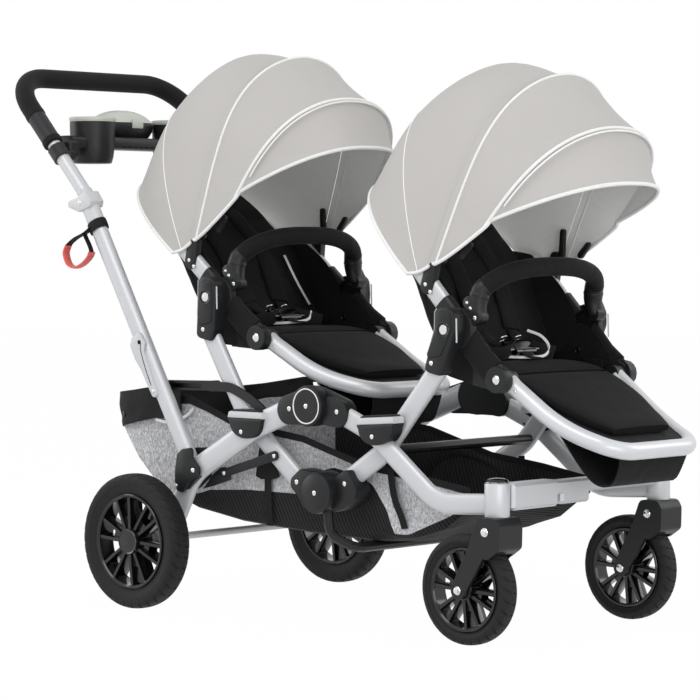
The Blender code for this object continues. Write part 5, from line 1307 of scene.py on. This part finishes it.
    # Harness
    pads = Shape()
    for side in (1, -1):
        spine = smooth_path([(-0.19, side * 0.05, 0.19), (-0.144, side * 0.052, 0.142),
                             (-0.106, side * 0.053, 0.094), (-0.083, side * 0.05, 0.04),
                             (-0.06, side * 0.042, -0.006)], 26)
        pads.section(spine, oval_section(0.044, 0.011, 28, 2.8), ACROSS)
        pads.strap(smooth_path([spine[-1], (-0.04, side * 0.034, -0.026), (-0.018, side * 0.02, -0.036)],
                               10),
                   ACROSS, 0.025, 0.0022)
        pads.strap(smooth_path([(-0.046, side * 0.138, -0.052), (-0.012, side * 0.1, -0.05),
                                (0.002, side * 0.05, -0.044), (-0.004, side * 0.022, -0.036)], 14),
                   (0.4, 0, 1), 0.028, 0.0022)
    pads.strap(smooth_path([(0.034, 0, -0.054), (0.018, 0, -0.05), (0.0, 0, -0.04)], 8),
               ACROSS, 0.03, 0.0022)
    pads = seat_piece("shoulder_pads", pads, CLOTH, None)
    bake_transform(pads)
    if label == "rear":
        strip = smooth_path([(-0.096, 0.104, 0.088), (-0.075, 0.11, 0.036), (-0.052, 0.118, -0.014)], 12)
        seat_piece("harness_strip", Shape().strap(strip, ACROSS, 0.0065, 0.0014), REFLECT, recline)
    buckle = Shape().section([(-0.006, y, -0.036) for y in (-0.027, -0.024, 0.024, 0.027)],
                             oval_section(0.036, 0.013, 28, 3.4), (0.8, 0, -0.6))
    for ends in ((-0.04, -0.027), (0.027, 0.04)):
        buckle.section([(-0.006, y, -0.034) for y in ends], oval_section(0.026, 0.008, 20, 3.0),
                       (0.8, 0, -0.6))
    seat_piece("harness_buckle", buckle, GLOSS, arms)
    loops = Shape()
    for y in (-0.02, 0.02):
        loops.tube([(-0.03 + 0.007 * math.cos(t), y + 0.009 * math.sin(t), -0.021 + 0.005 * math.cos(t))
                    for t in turns(24)], 0.0013, 10, closed=True)
    seat_piece("harness_rings", loops, CHROME, arms)
    tail = [(0.0, 0.012, -0.006), (0.022, 0.024, -0.016), (0.036, 0.028, -0.034), (0.036, 0.016, -0.05),
            (0.014, -0.01, -0.053), (-0.01, -0.034, -0.052)]
    if label == "rear":
        tail = tail[2:]
    tail = Shape().section(smooth_path(tail, 30), oval_section(0.0052, 0.0022, 12), (0, 0.3, 1))
    seat_piece("harness_piping", tail, REFLECT, arms)

    # Inner ends of the canopy's bows
    joints = Shape().plate(stadium((-0.044, 0.118), (-0.041, 0.17), 0.0062, 0.005, 12), 0.169, 0.162,
                           0.0012)
    joints.rivet(-0.044, 0.122, 0.169, 0.0026)
    seat_piece("bow_joints", joints.mirrored(), PLASTIC, recline)
    clasps = Shape().plate(stadium((0.0, 0.127), (0.017, 0.146), 0.0062, 0.005, 12), 0.169, 0.162, 0.0012)
    seat_piece("bow_clasps", clasps.mirrored(), PLASTIC, fold)

    # Leg rest
    px, pz = LEGREST_PIVOT
    loop = filleted(across([(px + 0.004, 0.151, pz - 0.004), (px + 0.016, 0.151, pz - 0.014),
                            (0.2, 0.142, -0.167), (0.2972, 0.107, -0.203)]),
                    [0.04, 0.3, 0.055, 0.055, 0.3, 0.04], 14)
    tube = Shape().tube(loop, 0.0149, 32)
    seat_piece("legrest_loop", tube, BRIGHT, legrest, stands_for=[f"{label}_legrest_tube"])
    knuckle = Shape().lathe([(0, 0), (0.015, 0), (0.0152, 0.002), (0.0152, 0.0255), (0, 0.0262)],
                            (px, 0.1397, pz), steps=40)
    seat_piece("legrest_knuckles", knuckle.mirrored(), PLASTIC, legrest)
    small = Shape().rivet(px + 0.027, pz - 0.02, 0.1652, 0.0028)
    seat_piece("legrest_rivets", small.mirrored(), CHROME, legrest)
    rest_rows = rows_of([(0.084, -0.084, 0.1345), (0.115, -0.098, 0.133), (0.16, -0.122, 0.126),
                         (0.2, -0.144, 0.112), (0.235, -0.16, 0.096), (0.262, -0.171, 0.078)], 22, 18)
    pad = seat_piece("legrest_cushion", cushion(rest_rows, 0.013, 0.005), PAD, legrest,
                     stands_for=[f"{label}_legrest_pad"])
    web_rows = rows_of([(0.098, -0.1, 0.138), (0.15, -0.129, 0.135), (0.2, -0.156, 0.128),
                        (0.25, -0.179, 0.112), (0.284, -0.192, 0.096), (0.296, -0.198, 0.09)], 22, 24)
    web = seat_piece("legrest_web", shell(web_rows, CLOTH_THICK), CLOTH, legrest)
    pocket_rows = rows_of([(0.118, -0.104, 0.128), (0.15, -0.142, 0.124), (0.18, -0.184, 0.117),
                           (0.212, -0.236, 0.104), (0.238, -0.262, 0.096), (0.266, -0.262, 0.092),
                           (0.283, -0.236, 0.092), (0.292, -0.205, 0.098)], 24, 30)
    pocket = seat_piece("foot_pocket", shell(pocket_rows, 0.0026), [CLOTH, CLOTH], legrest)

    # Bumper bar
    path = bow((0.016, 0.042), (0.068, 0.108), 0.163, 0.8, 0.72, 60, start=0.0001)
    bar = Shape().tube(path[5:-5], 0.0166, 28)
    cover = seat_piece("bumper_foam", bar, CLOTH, bumper, "foam", stands_for=[f"{label}_bumper_bar"])
    socket = Shape()
    start = vec(BUMPER_PIN[0] - 0.003, 0.1635, BUMPER_PIN[1] - 0.001)
    neck = smooth_path([start, path[3].lerp(start, 0.35), path[5], path[7]], 14)
    socket.tube(neck, [0.014 + 0.0034 * min(1.0, k / 8) for k in range(15)], 28)
    socket.tube([neck[9], neck[10]], 0.0181, 28)
    socket.lathe([(0, -0.009), (0.0122, -0.009), (0.0126, -0.007), (0.0126, 0.0085), (0.011, 0.0098),
                  (0, 0.01)],
                 (BUMPER_PIN[0], 0.1635, BUMPER_PIN[1]), steps=32)
    socket.plate(stadium((BUMPER_PIN[0] + 0.001, BUMPER_PIN[1]), (0.0245, 0.0455), 0.0115, 0.0128, 14),
                 0.168, 0.1798, 0.0018)
    seat_piece("bumper_sockets", socket.mirrored(), PLASTIC, bumper)
    studs = Shape().rivet(0.0215, 0.0462, 0.1798, 0.003).rivet(0.0292, 0.0366, 0.1798, 0.0034)
    studs.rivet(BUMPER_PIN[0] + 0.002, BUMPER_PIN[1] - 0.001, 0.1798, 0.004)
    seat_piece("bumper_rivets", studs.mirrored(), CHROME, bumper)

# Basket

# Where the basket is measured: (x, top, floor, half width at the top, half width at the floor)
STATIONS = [
    (-0.44, 0.385, 0.335, 0.176, 0.15), (-0.39, 0.395, 0.265, 0.178, 0.155),
    (-0.33, 0.4, 0.205, 0.178, 0.16), (-0.25, 0.398, 0.18, 0.178, 0.162),
    (-0.13, 0.357, 0.163, 0.178, 0.162), (0.047, 0.336, 0.153, 0.178, 0.162),
    (0.2, 0.294, 0.15, 0.178, 0.16), (0.32, 0.28, 0.158, 0.176, 0.15),
    (0.375, 0.272, 0.17, 0.173, 0.146), (0.44, 0.262, 0.226, 0.17, 0.14),
]
# The height, at each x, at which the dark skirt takes over from the pale side
SKIRT = [
    (-0.44, 0.215), (-0.21, 0.222), (-0.1, 0.229), (0.04, 0.229), (0.075, 0.268), (0.12, 0.282),
    (0.18, 0.272), (0.216, 0.256), (0.25, 0.212), (0.266, 0.172), (0.3, 0.172), (0.378, 0.202),
    (0.44, 0.232),
]


def basket_profile(x, top, floor, half_top, half_floor):
    """Half a cross-section from rim to the middle of the floor, with named heights."""
    deep = top - floor
    rear = clamp((-0.2 - x) / 0.13)
    hem = 0.012 + 0.008 * rear
    line = next(z + (w - z) * (x - a) / (b - a) for (a, z), (b, w) in zip(SKIRT, SKIRT[1:]) if x <= b)
    low = floor + deep * 0.06
    skirt = min(max(line * (1 - rear) + low * rear, low), top - hem - 0.015)
    line = [vec(0, half_top, top), vec(0, half_top + 0.001, top - hem),
            vec(0, half_top - 0.001, top - hem - 0.001)]
    for k in range(1, 7):
        t = k / 6
        line.append(vec(0, half_top * (1 - 0.012 * t) - 0.003 * math.sin(math.pi * t),
                        (top - hem - 0.001) * (1 - t) + skirt * t))
    line.append(vec(0, line[-1].y - 0.001, skirt - 0.001))
    for k in range(1, 6):
        t = k / 6
        line.append(vec(0, line[-1].y * 0.99, skirt * (1 - t) + (floor + deep * 0.05) * t))
    line.append(vec(0, half_floor, floor + deep * 0.04))
    line += [vec(0, half_floor * 0.93, floor + deep * 0.015), vec(0, half_floor * 0.82, floor),
             vec(0, half_floor * 0.5, floor - 0.002), vec(0, 0, floor - 0.003)]
    return line


xs = []
for a, b in zip(STATIONS, STATIONS[1:]):
    for k in range(14):
        xs.append([p + (q - p) * k / 14 for p, q in zip(a, b)])
xs.append(list(STATIONS[-1]))
basket_rows = []
for x, top, floor, half_top, half_floor in xs:
    half = [vec(x, p.y, p.z) for p in basket_profile(x, top, floor, half_top, half_floor)]
    pulled_up = 0.04 * clamp((x - 0.29) / 0.085) * (1 - 0.55 * max(0.0, (x - 0.375) / 0.065))
    for p in half:
        p.z += pulled_up * max(0.0, 1 - p.y / half_top) ** 0.7
        p.y += 0.0022 * noise.noise(vec(p.x * 9, 3.1, p.z * 12))
    basket_rows.append(half + [vec(p.x, -p.y, p.z) for p in half[-2::-1]])
skin = shell(basket_rows, 0.0022)
count = len(basket_rows[0])
outer_faces = (count - 1) * (len(basket_rows) - 1)
for index, face in enumerate(skin.faces):
    column = index % (count - 1) if index < outer_faces * 2 else 0
    down = min(column, count - 2 - column)
    skin.slots[index] = 0 if down < 2 else (1 if down < 9 else 2)
    if down >= 2 and index >= outer_faces and skin.points[face[0]].x > -0.2:
        skin.slots[index] = 2
basket = piece("basket_cloth", skin, [HEM, MELANGE, MESH], "rear_frame", "basket_cloth",
               stands_for=["basket"])

left_cuff = [(-0.268, 0.1795, 0), (-0.33, 0.1805, 0), (-0.39, 0.1815, 0), (-0.43, 0.174, 0),
             (-0.4515, 0.15, 0), (-0.456, 0.1, 0)]
cuff_line = smooth_path(left_cuff + [(-0.456, 0, 0)] + [(x, -y, 0) for x, y, _ in reversed(left_cuff)], 84)
cuff_rows = []
for level in range(9):
    t = level / 8
    row = []
    for p in cuff_line:
        top = 0.4135 + 0.15 * (p.x + 0.3356) - 0.5 * max(0.0, p.x + 0.286)
        bottom = 0.3524 + 0.2 * min(0.0, p.x + 0.335) + 1.1 * max(0.0, p.x + 0.335) ** 2
        out = 0.0015 + 0.003 * math.sin(math.pi * t) + 0.0016 * noise.noise(vec(p.x * 40, p.y * 22, t * 3))
        way = vec(p.x + 0.3, p.y * 1.4, 0).normalized()
        out += 0.0028 * (1 - t) * (t < 0.2)
        lean = 0.015 * t * clamp((-p.x - 0.4) / 0.05)
        row.append(vec(p.x - lean, p.y, bottom + (top - bottom) * t) + way * out)
    cuff_rows.append(row)
folded = piece("basket_cuff", shell(cuff_rows, 0.0026), [HEM, HEM], "rear_frame", sharp=60)
snap = Shape().lathe([(0.0056, 0), (0.0054, 0.0016), (0.0042, 0.0022), (0.0034, 0.0014), (0, 0.0014)],
                     (-0.43, 0.1788, 0.356), (-0.5, 0.86, 0), 24)
piece("basket_snaps", snap.mirrored(), GLOSS, "rear_frame")
flash = Shape()
flash.section(smooth_path([(-0.338, 0.1815, 0.349), (-0.306, 0.1822, 0.345), (-0.276, 0.1822, 0.35),
                           (-0.25, 0.1818, 0.362), (-0.236, 0.1812, 0.374)], 22),
              oval_section(0.0018, 0.0062, 12), ACROSS)
piece("basket_flash", flash.mirrored(), REFLECT, "rear_frame")
bands = Shape()
bands.strap([(-0.0385, 0.1812, 0.262), (-0.0385, 0.1818, 0.23), (-0.039, 0.1795, 0.2),
             (-0.04, 0.175, 0.165)], (1, 0, 0), 0.017)
bands.strap(smooth_path([(0.266, 0.183, 0.29), (0.269, 0.1835, 0.264), (0.278, 0.1835, 0.23),
                         (0.29, 0.1815, 0.204), (0.295, 0.1775, 0.182)], 16), (1, 0, 0.2), 0.015)
piece("basket_bands", bands.mirrored(), WEBBING, "rear_frame")
patch = Shape().plate(rounded([(-0.07, 0.256), (-0.06, 0.312), (-0.046, 0.306), (-0.008, 0.258),
                               (-0.02, 0.253), (-0.056, 0.25)], 0.003), 0.18, 0.1822, 0.0006)
piece("basket_patches", patch.mirrored(), HEM, "rear_frame")
